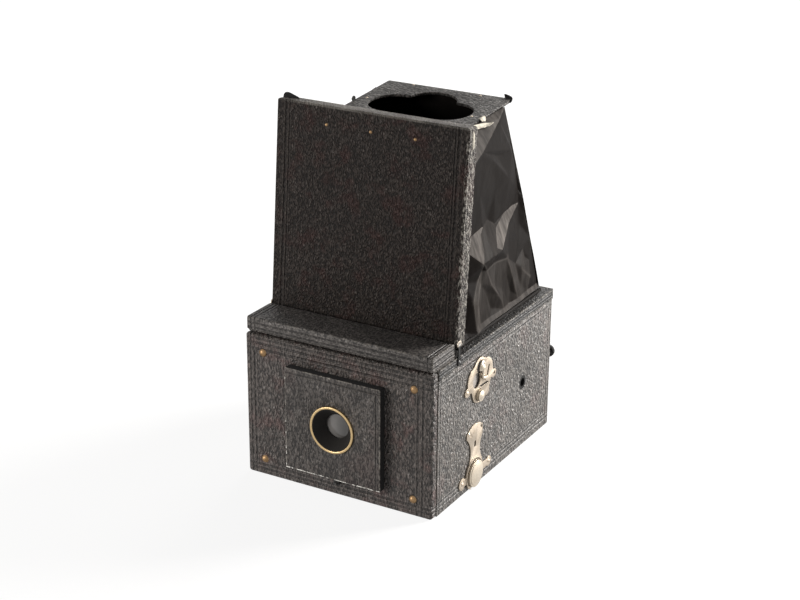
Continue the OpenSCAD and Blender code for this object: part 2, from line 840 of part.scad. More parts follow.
module door_hinge_leaves() {
    color(brass) for (z = door_hinge_z) {
        block(-half_w + 1.6, hinge_x - 1.5, rear_y, rear_y + 0.7, z - hinge_len / 2, z + hinge_len / 2);
        for (end = [-1, 1]) {
            translate([hinge_x, hinge_y, z + end * 5 - 2.4]) cylinder(h = 4.8, r = hinge_r);
            block(hinge_x - 1.6, hinge_x - 0.3, rear_y, hinge_y, z + end * 5 - 2.4, z + end * 5 + 2.4);
        }
        translate([hinge_x, hinge_y, z - hinge_len / 2]) cylinder(h = hinge_len, r = 0.6);
    }
}

module door_hinge_wings() {
    color(brass) for (z = door_hinge_z) difference() {
        union() {
            translate([hinge_x, hinge_y, z - 2.4]) cylinder(h = 4.8, r = hinge_r);
            block(hinge_x, hinge_x + 7, rear_y, rear_y + 0.7, z - 2.4, z + 2.4);
            block(hinge_x + 0.5, hinge_x + 7, rear_y, rear_y + 0.7, z - hinge_len / 2, z + hinge_len / 2);
        }
        translate([hinge_x, hinge_y, z - hinge_len]) cylinder(h = 2 * hinge_len, r = 0.6 + slip);
        for (end = [-1, 1])
            block(hinge_x - 2, hinge_x + 1.8, rear_y - 1, rear_y + 4, z + end * 5 - 2.6, z + end * 5 + 2.6);
    }
}

module pressure_board() color(matt_black) block(-50, 50, plate_y + 3.4, plate_y + 5.4, 13, 86);

// Bowed leaf springs between the door and the pressure board
module pressure_springs() {
    gap = door_front - plate_y - 5.4;
    chord = 46;
    bow_r = (chord * chord / 4 + gap * gap) / (2 * gap);
    color(steel) for (z = [28, 71])
        translate([0, 0, z - 4]) linear_extrude(8) intersection() {
            translate([0, door_front - bow_r]) difference() {
                circle(bow_r, $fn = 180);
                circle(bow_r - 0.5, $fn = 180);
            }
            translate([-chord / 2, plate_y + 5.4]) square([chord, gap]);
        }
}

// A turn button on the end of the right wall holds the door
module back_latch() {
    color(matt_black) {
        rod_y(rear_y + 0.1, rear_y + 1, latch_x, latch_z, 3);
        translate([0, rear_y + 1, 0]) rotate([-90, 0, 0]) translate([latch_x, -latch_z, 0])
            linear_extrude(1) {
                circle(2.6);
                translate([-2.2, 0]) square([4.4, 9]);
                translate([0, 9]) circle(2.2);
            }
        rod_y(rear_y + 2, rear_y + 3.6, latch_x, latch_z, 3.3);
        translate([latch_x, rear_y + 3.6, latch_z]) rotate([-90, 0, 0]) dome(3.3, 2);
        rod_y(rear_y - 4, rear_y + 0.1, latch_x, latch_z, 1);
    }
}

// Hood cloth
// It runs as a strip round three sides, from the lid's right edge to its left edge.
// Each level is a row of points, and pressed folds push the points in and out.
cloth_levels = 12;
cloth_side_steps = 7;
cloth_back_steps = 6;
cloth_t = 0.7;
cloth_gap = 0.4;
cloth_ridge = 0.86;
cloth_bow = 7.5;
cloth_break = 0.53;
cloth_steps = 2 * cloth_side_steps + cloth_back_steps;

function mix(a, b, k) = a + (b - a) * k;
function cloth_top(y) = eye_z - eye_t / 2 / cos(eye_pitch) - cloth_gap + (y - eye_hinge_y) * tan(eye_pitch);
// The back edge steps in where the upper half tucks behind a fold
function back_edge_y(v) = v < cloth_break ? mix(79.5, 63.6, v / cloth_break)
    : mix(59, 45.2, (v - cloth_break) / (1 - cloth_break));
function back_edge_x(v) = mix(61.4, 48.7, v);
function lid_edge_z(v) = mix(cloth_foot, cloth_top(pivot_y + 19), v);
function lid_edge_y(v) = v > 0.03 ? pivot_y + (lid_edge_z(v) - pivot_z) * tan(lid_lean) + lid_rim_b + 0.4
    : hood_front + 1.8;
function lid_edge_x(v) = mix(61.2, 63.4, min(1, v * 6));
// Above a ridge from the back corner to the lid, the side turns in to the edge of the eye board
function ridge(k) = mix(cloth_ridge, 1, k);
function turn_in(k, v) = max(0, v - ridge(k)) / max(0.01, 1 - ridge(k));
function side_x(k, v) = mix(mix(lid_edge_x(v), back_edge_x(v), k), eye_w / 2 + 1.2, turn_in(k, v));
function side_y(k, v) = mix(lid_edge_y(v), back_edge_y(v), k);
function side_z(k, v) = mix(cloth_foot, cloth_top(side_y(k, 1)), v);
function side_fold(k, v) = fold_depth * (cos(180 * (k * 3 + v * 5)) * sin(180 * k) - 0.5) * sin(180 * min(1, v * 1.05));
function back_fold(k, v) = fold_depth * cos(180 * (k * 4 + v * 2)) * sin(180 * k) * sin(180 * v);
function back_bow(k, v) = cloth_bow * 4 * k * (1 - k) * pow(v, 3);
function side_point(side, k, v, inset) = [
    side * (side_x(k, v) + side_fold(k, v) - inset), side_y(k, v) - inset * k, side_z(k, v)];
function back_point(k, v, inset) = let (y = back_edge_y(v) - inset + back_fold(k, v) + back_bow(k, v))
    [mix(back_edge_x(v) - inset, -back_edge_x(v) + inset, k), y,
        mix(cloth_foot, cloth_top(back_edge_y(1) + back_bow(k, 1)), v)];
function cloth_point(i, v, inset) =
    i < cloth_side_steps ? side_point(1, i / cloth_side_steps, v, inset)
    : i <= cloth_side_steps + cloth_back_steps ? back_point((i - cloth_side_steps) / cloth_back_steps, v, inset)
    : side_point(-1, (cloth_steps - i) / cloth_side_steps, v, inset);

module hood_cloth() {
    row = cloth_steps + 1;
    sheet = row * (cloth_levels + 1);
    points = [for (inset = [0, cloth_t]) for (j = [0 : cloth_levels]) for (i = [0 : cloth_steps])
        cloth_point(i, j / cloth_levels, inset)];
    outer = [for (j = [0 : cloth_levels - 1]) for (i = [0 : cloth_steps - 1])
        let (p = j * row + i) each [[p, p + row, p + 1], [p + 1, p + row, p + row + 1]]];
    inner = [for (f = outer) [for (k = [2, 1, 0]) f[k] + sheet]];
    foot = [for (i = [0 : cloth_steps - 1])
        each [[i, i + 1, i + sheet], [i + 1, i + 1 + sheet, i + sheet]]];
    crown = [for (i = [0 : cloth_steps - 1]) let (p = cloth_levels * row + i)
        each [[p, p + sheet, p + 1], [p + 1, p + sheet, p + 1 + sheet]]];
    first = [for (j = [0 : cloth_levels - 1]) let (p = j * row)
        each [[p, p + sheet, p + row], [p + row, p + sheet, p + row + sheet]]];
    last = [for (j = [0 : cloth_levels - 1]) let (p = j * row + cloth_steps)
        each [[p, p + row, p + sheet], [p + row, p + row + sheet, p + sheet]]];
    color(matt_black) polyhedron(points, concat(outer, inner, foot, crown, first, last));
}

base_board();
left_wall();
right_wall();
front_board();
front_ledge();
top_frame();
hood_base_frame();
well_floor();
screen_frame();
focusing_screen();
plate_mask();
plate_rails();
lens_guide();
front_nails();
release_plate();
index_disc();
knob_plate();
plate_screws();
tripod_bushes();
lid_straps();
strap_pins();
door_hinge_leaves();
plate_sheath();
glass_plate();
lens_panel();
lens_box();
lens_ring();
lens_funnel();
front_glass();
rear_glass();
retaining_ring();
lens_barrel();
shutter_plate();
focus_racks();
panel_catch();
shutter_blade();
focus_spindle();
focus_pinions();
focus_knob();
mirror_frame();
mirror_glass();
mirror_axle();
release_lever();
lever_cap();
release_shaft();
mirror_link();
release_button();
lid_board();
lid_pins();
lid_nails();
eye_hinge_leaves();
eye_board();
eye_hinge_wings();
eye_pins();
back_door();
door_hinge_wings();
pressure_board();
pressure_springs();
back_latch();
hood_cloth();
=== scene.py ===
"""The looks of a leather-covered box reflex camera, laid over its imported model."""
import math
import bmesh
import bpy
from mathutils import Matrix, Vector
from mathutils.geometry import delaunay_2d_cdt


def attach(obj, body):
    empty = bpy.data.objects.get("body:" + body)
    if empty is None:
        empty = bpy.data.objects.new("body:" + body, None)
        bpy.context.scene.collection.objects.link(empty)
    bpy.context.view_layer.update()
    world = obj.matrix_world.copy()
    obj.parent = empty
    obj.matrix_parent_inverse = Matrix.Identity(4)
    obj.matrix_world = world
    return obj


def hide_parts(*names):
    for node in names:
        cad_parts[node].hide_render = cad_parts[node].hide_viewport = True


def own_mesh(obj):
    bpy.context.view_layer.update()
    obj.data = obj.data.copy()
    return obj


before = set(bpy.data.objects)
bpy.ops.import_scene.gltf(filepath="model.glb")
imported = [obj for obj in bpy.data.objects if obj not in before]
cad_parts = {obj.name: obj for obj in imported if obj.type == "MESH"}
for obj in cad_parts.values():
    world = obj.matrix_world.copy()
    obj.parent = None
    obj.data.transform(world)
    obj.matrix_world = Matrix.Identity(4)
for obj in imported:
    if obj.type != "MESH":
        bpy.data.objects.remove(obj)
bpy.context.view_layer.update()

MM = 0.001

# ---------------------------------------------------------------- shader flow


class Flow:
    """A node's output that can stand in a sum, so shader maths reads as maths."""

    def __init__(self, shader, socket):
        self.shader = shader
        self.socket = socket

    def is_vector(self):
        return self.socket.type in ("VECTOR", "RGBA")

    def join(self, operation, first, second):
        vectors = [isinstance(v, Flow) and v.is_vector() for v in (first, second)]
        if operation == "MULTIPLY" and any(vectors) and not all(vectors):
            vector, number = (first, second) if vectors[0] else (second, first)
            return self.shader.tint(vector, number)
        kind = "ShaderNodeVectorMath" if any(vectors) else "ShaderNodeMath"
        return self.shader.node(kind, {"operation": operation}, {0: first, 1: second})

    def __add__(self, other): return self.join("ADD", self, other)
    def __radd__(self, other): return self.join("ADD", other, self)
    def __sub__(self, other): return self.join("SUBTRACT", self, other)
    def __rsub__(self, other): return self.join("SUBTRACT", other, self)
    def __mul__(self, other): return self.join("MULTIPLY", self, other)
    def __rmul__(self, other): return self.join("MULTIPLY", other, self)
    def __abs__(self): return self.shader.node("ShaderNodeMath", {"operation": "ABSOLUTE"}, {0: self})

    def least(self, other): return self.join("MINIMUM", self, other)
    def most(self, other): return self.join("MAXIMUM", self, other)


class Shader:
    """A material that is being made."""

    def __init__(self, name):
        self.material = bpy.data.materials.new(name)
        self.material.use_nodes = True
        self.tree = self.material.node_tree
        self.surface = self.tree.nodes["Principled BSDF"]

    def feed(self, socket, value):
        if isinstance(value, Flow):
            self.tree.links.new(value.socket, socket)
        elif socket.type == "RGBA" and len(value) == 3:
            socket.default_value = (*value, 1.0)
        else:
            socket.default_value = value

    def node(self, kind, settings=None, sockets=None, out=0):
        """Any node: its settings come first, then the values or links of its sockets."""
        made = self.tree.nodes.new(kind)
        for key, value in (settings or {}).items():
            setattr(made, key, value)
        for key, value in (sockets or {}).items():
            self.feed(made.inputs[key], value)
        return Flow(self, made.outputs[out])

    def turned(self, where, turn, scale):
        """Coordinates turned (degrees) and scaled."""
        angle = [math.radians(a) for a in turn]
        return self.node("ShaderNodeMapping", None, {"Vector": where, "Rotation": angle, "Scale": scale})

    def place(self, turn=(0, 0, 0), scale=(1, 1, 1)):
        """Object coordinates in metres, turned (degrees) and scaled."""
        where = self.node("ShaderNodeTexCoord", out="Object")
        if (turn, scale) == ((0, 0, 0), (1, 1, 1)):
            return where
        return self.turned(where, turn, scale)

    def noise(self, where, scale, detail=2.0, rough=0.5, colour=False, twist=0.0):
        return self.node("ShaderNodeTexNoise", None,
                         {"Vector": where, "Scale": scale, "Detail": detail, "Roughness": rough,
                          "Distortion": twist}, "Color" if colour else "Fac")

    def cells(self, where, scale):
        """Distance to the edge of the nearest of many irregular cells."""
        return self.node("ShaderNodeTexVoronoi", {"feature": "DISTANCE_TO_EDGE"},
                         {"Vector": where, "Scale": scale, "Randomness": 0.9}, "Distance")

    def step(self, value, low, high, start=0.0, end=1.0):
        """Goes smoothly from start to end as value goes from low to high."""
        return self.node("ShaderNodeMapRange", {"interpolation_type": "SMOOTHSTEP"},
                         {"Value": value, "From Min": low, "From Max": high, "To Min": start, "To Max": end})

    def mix(self, factor, first, second):
        return self.node("ShaderNodeMix", {"data_type": "RGBA"}, {0: factor, 6: first, 7: second}, 2)

    def tint(self, colour, factor):
        """A vector scaled, or a colour made lighter or darker, by a factor."""
        return self.node("ShaderNodeVectorMath", {"operation": "SCALE"}, {0: colour, "Scale": factor})

    def split(self, vector):
        parts = self.tree.nodes.new("ShaderNodeSeparateXYZ")
        self.feed(parts.inputs[0], vector)
        return [Flow(self, s) for s in parts.outputs]

    def attribute(self, name):
        return self.node("ShaderNodeAttribute", {"attribute_name": name}, None, "Fac")

    def relief(self, height):
        """Bumps of a height in millimetres."""
        bump = self.node("ShaderNodeBump", None, {"Height": height, "Distance": MM, "Strength": 1.0})
        self.feed(self.surface.inputs["Normal"], bump)

    def set(self, **values):
        for key, value in values.items():
            self.feed(self.surface.inputs[key.replace("_", " ")], value)


# ------------------------------------------------------------------- finishes

# Colours that show where a covering is worn
RUBBED_EDGE = (0.22, 0.2, 0.175)
FRAYED_BAND = (0.3, 0.28, 0.25)
BARE_BOARD = (0.85, 0.83, 0.77)
RUBBED_TOP = (0.2, 0.185, 0.165)


def darker(tone, share):
    return tuple(c * share for c in tone)


def near_edge(parts, low, high):
    """Distance in metres to the nearest edge of a board that fills a box."""
    x, y, z = [(part - a).least(b - part) for part, a, b in zip(parts, low, high)]
    return x.least(y).most(x.most(y).least(z))


def beaded_grain(s, where, grain, turn, size):
    """The height of embossed beads, from 0 to 1, stretched by grain along turned axes."""
    sway = (s.noise(where, 240, 2, colour=True) - (0.5, 0.5, 0.5)) * 0.0026
    spot = s.turned(where + sway, turn, grain)
    bead = s.step(s.cells(spot, 1 / size), 0.0, 0.36)
    wave = s.step(s.noise(spot, 1.1 / size, 1.0, 0.5, twist=0.5), 0.36, 0.64)
    patch = s.step(s.noise(where, 95, 3), 0.3, 0.7)
    return (bead * 0.5 + wave * 0.5) * (0.7 + patch * 0.3)


def pressed_lines(s, parts, slow, lines):
    """How deep a place lies in a pressed groove, and how high on the lip beside one."""
    groove = lip = None
    for axis, at, half in lines:
        off = abs(parts[axis] + slow * 0.0010 - 0.0005 - at * MM)
        dip = s.step(off, half * MM * 0.2, half * MM * 1.5, 1.0, 0.0)
        ridge = s.step(abs(off - half * MM * 2.2), 0.0, half * MM * 1.2, 1.0, 0.0)
        groove = groove.most(dip) if groove else dip
        lip = lip.most(ridge) if lip else ridge
    return groove, lip


def leather(name, tone, low, high, grain=(1, 1, 1), turn=(0, 0, 0), size=0.0022, height=1.1, lines=(),
            red=0.0, worn=0.5, rough=0.36, gloss=0.5, band=0.0, chips=(), crown=0.0, marks=()):
    """Embossed leather cloth on a board that fills the box low to high, in millimetres.
    size is that of its beads in metres, and height their height in millimetres;
    lines are pressed grooves, each (axis, place in mm, half width in mm);
    red is how much of it has reddened, worn how bare its edges are and band how frayed its right edge is;
    chips are lines where pale board shows, each (axis, place in mm, half width in mm, how much of the line);
    above the height crown the covering is rubbed grey; marks are dark stains, each (x, z, radius in mm)."""
    s = Shader(name)
    where = s.place()
    parts = s.split(where)
    low, high = [v * MM for v in low], [v * MM for v in high]
    fine = s.noise(where, 2600, 3, 0.6)
    slow = s.noise(where, 38, 3)
    wide = s.noise(where, 14, 2)
    skin = beaded_grain(s, where, grain, turn, size)
    shape = skin * height + fine * 0.03 + slow * 0.6
    # Painted shade darkens the grain's creases, and a painted highlight lightens the tops of its beads.
    painted_crease_shade = darker(tone, 0.22)
    wear_and_highlight = tuple(c * 1.9 + 0.016 for c in tone)
    colour = s.mix(s.step(skin, 0.1, 0.5), painted_crease_shade, tone)
    colour = s.mix(s.step(skin, 0.5, 0.9) * 0.8, colour, wear_and_highlight)
    if red:
        blush = (tone[0] * 1.5, tone[1] * 0.82, tone[2] * 0.82)
        reddened = s.step(s.noise(where, 60, 4, 0.6), 0.5, 0.66) * red
        # The reddened colour is darker in the grain's creases and lighter on its beads: painted shade and
        # highlight.
        colour = s.mix(reddened, colour, s.tint(blush, 0.35 + skin))
    if lines:
        groove, lip = pressed_lines(s, parts, slow, lines)
        shape = shape - groove * 0.7 + lip * 0.3
        # A painted highlight lightens the lip beside each pressed groove, and painted shade darkens the
        # groove.
        colour = s.mix(lip * (0.3 + fine * 0.6) * 0.55, colour, wear_and_highlight)
        colour = s.mix(groove * 0.5, colour, painted_crease_shade)
    s.relief(shape)
    away = near_edge(parts, low, high) + (fine - 0.5) * 0.0010 + (slow - 0.5) * 0.0014
    rubbed = s.step(away, 0.0001, 0.0012, 1.0, 0.0) * s.step(s.noise(where, 260, 3), 0.4, 0.62) * worn
    colour = s.mix(rubbed, colour, RUBBED_EDGE)
    if band:
        strip = s.step(high[0] - parts[0], 0.0016, 0.0024, 1.0, 0.0)
        frayed_part = s.step(s.noise(s.place(scale=(1, 1, 0.45)), 620, 3, 0.7), 0.47, 0.6)
        colour = s.mix(strip * frayed_part * band, colour, FRAYED_BAND)
    for axis, at, half, share in chips:
        off = abs(parts[axis] + (slow - 0.5) * 0.0008 - at * MM)
        bare = s.step(off, half * MM * 0.5, half * MM, 1.0, 0.0)
        bare = bare * s.step(s.noise(where, 330, 3, 0.65), 0.66 - share * 0.4, 0.74 - share * 0.4)
        colour = s.mix(bare, colour, BARE_BOARD)
    if crown:
        top = s.step(parts[2], crown * MM, (crown + 1.0) * MM) * s.step(fine + slow, 0.75, 1.2)
        colour = s.mix(top * 0.7, colour, RUBBED_TOP)
    for x, z, radius in marks:
        off = abs(parts[0] - x * MM).most(abs(parts[2] - z * MM)) + (slow - 0.5) * 0.004
        colour = s.mix(s.step(off, radius * MM * 0.3, radius * MM, 0.75, 0.0), colour, darker(tone, 0.3))
    s.set(Base_Color=s.tint(colour, 0.78 + wide * 0.42),
          Roughness=rough + (1 - skin) * 0.3 + slow * 0.1 - 0.1, Specular_IOR_Level=gloss)
    return s.material


def metal(name, tone, dark, rough=0.28, spots=0.5, size=900):
    """Metal with a cloudy film and dark specks; spots is how much of both, and size how many to a metre."""
    s = Shader(name)
    where = s.place()
    cloud = s.noise(where, size * 0.35, 4, 0.6)
    speck = s.step(s.noise(where, size * 1.7, 3, 0.7), 0.55, 0.72) * spots
    film = s.step(cloud, 0.42, 0.74) * spots
    colour = s.mix(film * 0.7, tone, dark)
    s.set(Base_Color=s.mix(speck, colour, darker(dark, 0.35)), Metallic=1.0 - speck * 0.6,
          Roughness=rough + cloud * 0.2 + speck * 0.3)
    s.relief(cloud * 0.02 + s.noise(where, size * 3, 2) * 0.006)
    return s.material


def black_paint(name, tone, rough=0.45, wear_and_highlight=(0.12, 0.1, 0.085), size=260, gloss=0.5):
    """Paint rubbed through in small clouds, where it takes the worn colour given after its roughness."""
    s = Shader(name)
    where = s.place()
    cloud = s.noise(where, size, 4, 0.6)
    s.set(Base_Color=s.mix(s.step(cloud, 0.56, 0.75) * 0.5, tone, wear_and_highlight), Roughness=rough + cloud * 0.25,
          Specular_IOR_Level=gloss)
    s.relief(cloud * 0.05 + s.noise(where, size * 9, 2) * 0.02)
    return s.material


def stained_wood(name, tone):
    """Wood whose grain runs level."""
    s = Shader(name)
    along = s.place(scale=(1, 1, 12))
    grain = s.noise(along, 90, 5, 0.65, twist=0.6)
    pores = s.noise(along, 700, 2)
    colour = s.mix(s.step(grain, 0.35, 0.7), darker(tone, 0.55), tone)
    s.set(Base_Color=s.mix(s.step(pores, 0.5, 0.7) * 0.4, colour, darker(tone, 0.3)),
          Roughness=0.55 + grain * 0.2)
    s.relief(grain * 0.06 + pores * 0.04)
    return s.material


def glass(name, tone, rough, haze, fall=0.0):
    """Dusty glass; haze is how much of it shows, and fall how much painted shade darkens it towards the
    right.
    """
    s = Shader(name)
    where = s.place()
    film = s.noise(where, 160, 3)
    across = s.split(where)[0]
    colour = s.mix(s.step(across, -0.007, 0.006, 0.0, fall), tone, darker(tone, 0.3))
    s.set(Base_Color=s.mix(film, colour, s.tint(colour, 0.82)), Roughness=rough + film * 0.06, Alpha=haze,
          IOR=1.52)
    s.relief(s.noise(where, 900, 2) * 0.004)
    return s.material


def silvered(name):
    """A mirror whose silver has begun to brown."""
    s = Shader(name)
    film = s.noise(s.place(), 70, 4)
    s.set(Base_Color=s.mix(s.step(film, 0.5, 0.8) * 0.4, (0.86, 0.88, 0.88), (0.5, 0.47, 0.4)), Metallic=1.0,
          Roughness=0.03 + s.step(film, 0.55, 0.8) * 0.2)
    return s.material


def blackened_strap(name):
    """A black hinge strap, bare and bright at the loop round its pin."""
    s = Shader(name)
    where = s.place()
    wear = s.noise(where, 520, 3, 0.6)
    bare = s.step(s.split(where)[2] + wear * 0.003, 0.1095, 0.1118)
    s.set(Base_Color=s.mix(bare, (0.006, 0.0055, 0.005), (0.42, 0.37, 0.31)), Metallic=bare,
          Roughness=0.55 - bare * 0.15, Specular_IOR_Level=0.12)
    s.relief(wear * 0.05)
    return s.material


def creased_oilcloth(name):
    """Black oilcloth with a painted sheen in grey streaks on some facets, rubbed along its worn folds."""
    s = Shader(name)
    where = s.place()
    cloud = s.noise(where, 42, 4, 0.6)
    scuff = s.step(s.noise(where, 130, 4, 0.65), 0.5, 0.72)
    streak = s.step(s.noise(s.place((-22, 0, 0), (1, 2.6, 0.7)), 75, 4, 0.6), 0.34, 0.68)
    tone = s.mix(cloud, (0.0075, 0.0062, 0.0057), (0.012, 0.0102, 0.0092))
    tone = s.mix(scuff * 0.2, tone, (0.03, 0.027, 0.025))
    # Painted sheen: the listed facets are painted light grey, in streaks, in place of the light they catch.
    tone = s.mix(s.attribute("sheen_paint") * (0.35 + streak * 0.65), tone, (0.135, 0.122, 0.112))
    s.set(Base_Color=s.mix(s.attribute("worn_fold") * cloud * 0.7, tone, (0.1, 0.09, 0.082)),
          Roughness=0.32 + cloud * 0.08 + scuff * 0.1, Specular_IOR_Level=0.009)
    s.relief(s.noise(where, 1800, 2) * 0.02 + s.noise(where, 90, 3) * 0.3)
    return s.material


def torn_lining(name):
    """Pale cloth lining, stained where it is torn."""
    s = Shader(name)
    fibre = s.noise(s.place(scale=(1, 0.35, 1)), 1400, 4, 0.7)
    stain = s.step(s.noise(s.place(), 300, 3, 0.6), 0.42, 0.7)
    s.set(Base_Color=s.mix(stain * 0.6, (0.6, 0.56, 0.47), (0.24, 0.21, 0.17)), Roughness=0.85 + fibre * 0.1)
    s.relief(fibre * 0.2)
    return s.material


# ------------------------------------------------------------------- modelling


def only(piece):
    bpy.ops.object.select_all(action="DESELECT")
    piece.select_set(True)
    bpy.context.view_layer.objects.active = piece


def begin(name):
    piece = bpy.context.object
    piece.name = piece.data.name = name
    return piece


def settle(piece):
    """Puts the piece's place into its mesh, so its object sits at the origin."""
    only(piece)
    bpy.ops.object.transform_apply(location=True, rotation=True, scale=True)
    return piece


def pick(piece, rule):
    """Selects the faces that pass the rule, in edit mode."""
    bpy.ops.object.mode_set(mode="EDIT")
    bpy.ops.mesh.select_all(action="DESELECT")
    bpy.ops.mesh.select_mode(type="FACE")
    bpy.ops.object.mode_set(mode="OBJECT")
    for face in piece.data.polygons:
        face.select = rule(face)
    bpy.ops.object.mode_set(mode="EDIT")


def slab(name, low, high, round_mm=0.0, steps=3):
    """A board from corner to corner, in millimetres, with rounded edges."""
    middle = [(a + b) / 2 * MM for a, b in zip(low, high)]
    bpy.ops.object.select_all(action="DESELECT")
    bpy.ops.mesh.primitive_cube_add(size=1, location=middle)
    piece = begin(name)
    bpy.ops.object.mode_set(mode="EDIT")
    bpy.ops.mesh.select_all(action="SELECT")
    bpy.ops.transform.resize(value=[(b - a) * MM for a, b in zip(low, high)])
    if round_mm:
        bpy.ops.mesh.bevel(offset=round_mm * MM, segments=steps, affect="EDGES")
    bpy.ops.object.mode_set(mode="OBJECT")
    return settle(piece)


def drum(name, middle, axis, radius, depth, sides=64, round_mm=0.0, steps=2):
    """A round piece about X or Y, in millimetres, its rims rounded."""
    turn = {"X": (0, math.pi / 2, 0), "Y": (math.pi / 2, 0, 0)}[axis]
    bpy.ops.object.select_all(action="DESELECT")
    bpy.ops.mesh.primitive_cylinder_add(vertices=sides, radius=radius * MM, depth=depth * MM,
                                        location=[v * MM for v in middle], rotation=turn)
    piece = begin(name)
    if round_mm:
        pick(piece, lambda face: len(face.vertices) > 4)
        bpy.ops.mesh.region_to_loop()
        bpy.ops.mesh.bevel(offset=round_mm * MM, segments=steps, affect="EDGES")
        bpy.ops.object.mode_set(mode="OBJECT")
    return settle(piece)


def wire(name, path, radius, flat=1.0):
    """A rod bent through places in a plane across X, in millimetres, its thickness along X made flat."""
    bpy.ops.object.select_all(action="DESELECT")
    bpy.ops.curve.primitive_nurbs_path_add(location=(0, 0, 0))
    rod = begin(name)
    rod.data.splines.clear()
    run = rod.data.splines.new("NURBS")
    run.points.add(len(path) - 1)
    for point, (x, y, z) in zip(run.points, path):
        point.co = (x * MM, y * MM, z * MM, 1)
    run.order_u = 3
    run.use_endpoint_u = True
    rod.data.bevel_depth = radius * MM
    rod.data.bevel_resolution = 3
    rod.data.use_fill_caps = True
    bpy.ops.object.convert(target="MESH")
    rod = bpy.context.object
    middle = path[0][0] * MM
    for vertex in rod.data.vertices:
        vertex.co.x = middle + (vertex.co.x - middle) * flat
    return settle(rod)


def finish(piece, kind, **settings):
    """Adds a modifier and applies it."""
    only(piece)
    modifier = piece.modifiers.new(kind.title(), kind)
    for key, value in settings.items():
        setattr(modifier, key, value)
    bpy.ops.object.modifier_apply(modifier=modifier.name)
    return piece


def cut(piece, tool, operation="DIFFERENCE"):
    finish(piece, "BOOLEAN", object=tool, operation=operation, solver="EXACT")
    bpy.data.objects.remove(tool, do_unlink=True)
    return piece


def add(piece, part):
    return cut(piece, part, "UNION")


def soften(piece, angle=35):
    only(piece)
    bpy.ops.object.shade_smooth_by_angle(angle=math.radians(angle))
    return piece


def from_node(name, node, round_mm=0.0, steps=2):
    """A piece shaped from a node's solid: merged, its flat faces made whole and its edges rounded."""
    piece = bpy.data.objects.new(name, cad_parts[node].data.copy())
    bpy.context.scene.collection.objects.link(piece)
    only(piece)
    bpy.ops.mesh.customdata_custom_splitnormals_clear()
    bpy.ops.object.mode_set(mode="EDIT")
    bpy.ops.mesh.select_all(action="SELECT")
    bpy.ops.mesh.remove_doubles(threshold=0.000002)
    bpy.ops.mesh.dissolve_limited(angle_limit=math.radians(0.5))
    bpy.ops.object.mode_set(mode="OBJECT")
    if round_mm:
        finish(piece, "BEVEL", width=round_mm * MM, segments=steps, limit_method="ANGLE",
               angle_limit=math.radians(28))
    return soften(piece)


def laid(name, sheet):
    """An object made of a given sheet."""
    mesh = bpy.data.meshes.new(name)
    sheet.to_mesh(mesh)
    sheet.free()
    piece = bpy.data.objects.new(name, mesh)
    bpy.context.scene.collection.objects.link(piece)
    return piece


def dress(piece, material, slot, body, *nodes):
    """Gives a finished piece its material and the body it rides on, in place of its nodes."""
    piece.data.materials.clear()
    piece.data.materials.append(material)
    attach(piece, body)
    if nodes:
        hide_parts(*nodes)
    return piece


def coat(material, *nodes):
    """Gives CAD nodes that keep their shape a material."""
    for node in nodes:
        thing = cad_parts[node]
        thing.data.materials.clear()
        thing.data.materials.append(material)


# --------------------------------------------------------- camera and lighting

# The photograph's viewing place and directions, solved from the edges of the box
view_place = Vector((543.2, -953.4, 540.5)) * MM
view_right = Vector((0.86639, 0.49938, 0.00666))
view_up = Vector((-0.18849, 0.31461, 0.93034))
view_back = Vector((0.46248, -0.80725, 0.36669))
camera = bpy.data.objects.new("camera", bpy.data.cameras.new("camera"))
bpy.context.scene.collection.objects.link(camera)
camera.data.sensor_width = 36
camera.data.lens = 79.24
camera.data.clip_start = 0.05
camera.matrix_world = (Matrix.Translation(view_place)
                       @ Matrix((view_right, view_up, view_back)).transposed().to_4x4())
bpy.context.scene.camera = camera
bpy.context.scene.view_settings.view_transform = "Standard"


def lamp(name, place, aim, width, height, power):
    """A soft lamp of warm white light, in metres and watts."""
    light = bpy.data.lights.new(name, "AREA")
    light.shape = "RECTANGLE"
    light.size, light.size_y, light.energy, light.color = width, height, power, (1.0, 0.975, 0.945)
    thing = bpy.data.objects.new(name, light)
    bpy.context.scene.collection.objects.link(thing)
    thing.location = place
    thing.rotation_euler = (Vector(aim) - Vector(place)).to_track_quat("-Z", "Y").to_euler()


lamp("key from the right", (1.05, 1.45, 0.95), (0, 0, 0.1), 0.7, 0.7, 56)
lamp("low light from the right", (1.2, 1.3, 0.27), (0, 0, 0.12), 0.5, 0.4, 34)
lamp("fill from the left", (-0.8, -1.0, 0.38), (0, 0, 0.08), 0.5, 0.5, 13)
lamp("back light", (-0.2, 1.5, 1.0), (0, 0, 0.15), 0.8, 0.6, 8)


def shown_light(tree, given, seen=1.0):
    """A strength: seen where the camera, a reflection or glass shows the surface, and given for
    the light that it sheds."""
    rays = tree.nodes.new("ShaderNodeLightPath")
    shown = rays.outputs["Is Camera Ray"]
    for ray in ("Is Glossy Ray", "Is Transmission Ray"):
        either = tree.nodes.new("ShaderNodeMath")
        either.operation = "MAXIMUM"
        tree.links.new(shown, either.inputs[0])
        tree.links.new(rays.outputs[ray], either.inputs[1])
        shown = either.outputs[0]
    level = tree.nodes.new("ShaderNodeMapRange")
    level.inputs["To Min"].default_value = given
    if isinstance(seen, Flow):
        tree.links.new(seen.socket, level.inputs["To Max"])
    else:
        level.inputs["To Max"].default_value = seen
    tree.links.new(shown, level.inputs["Value"])
    return level.outputs[0]


world = bpy.data.worlds.new("studio")
bpy.context.scene.world = world
world.use_nodes = True
sky = world.node_tree.nodes["Background"]
sky.inputs["Color"].default_value = (1, 1, 1, 1)
world.node_tree.links.new(shown_light(world.node_tree, 0.04), sky.inputs["Strength"])

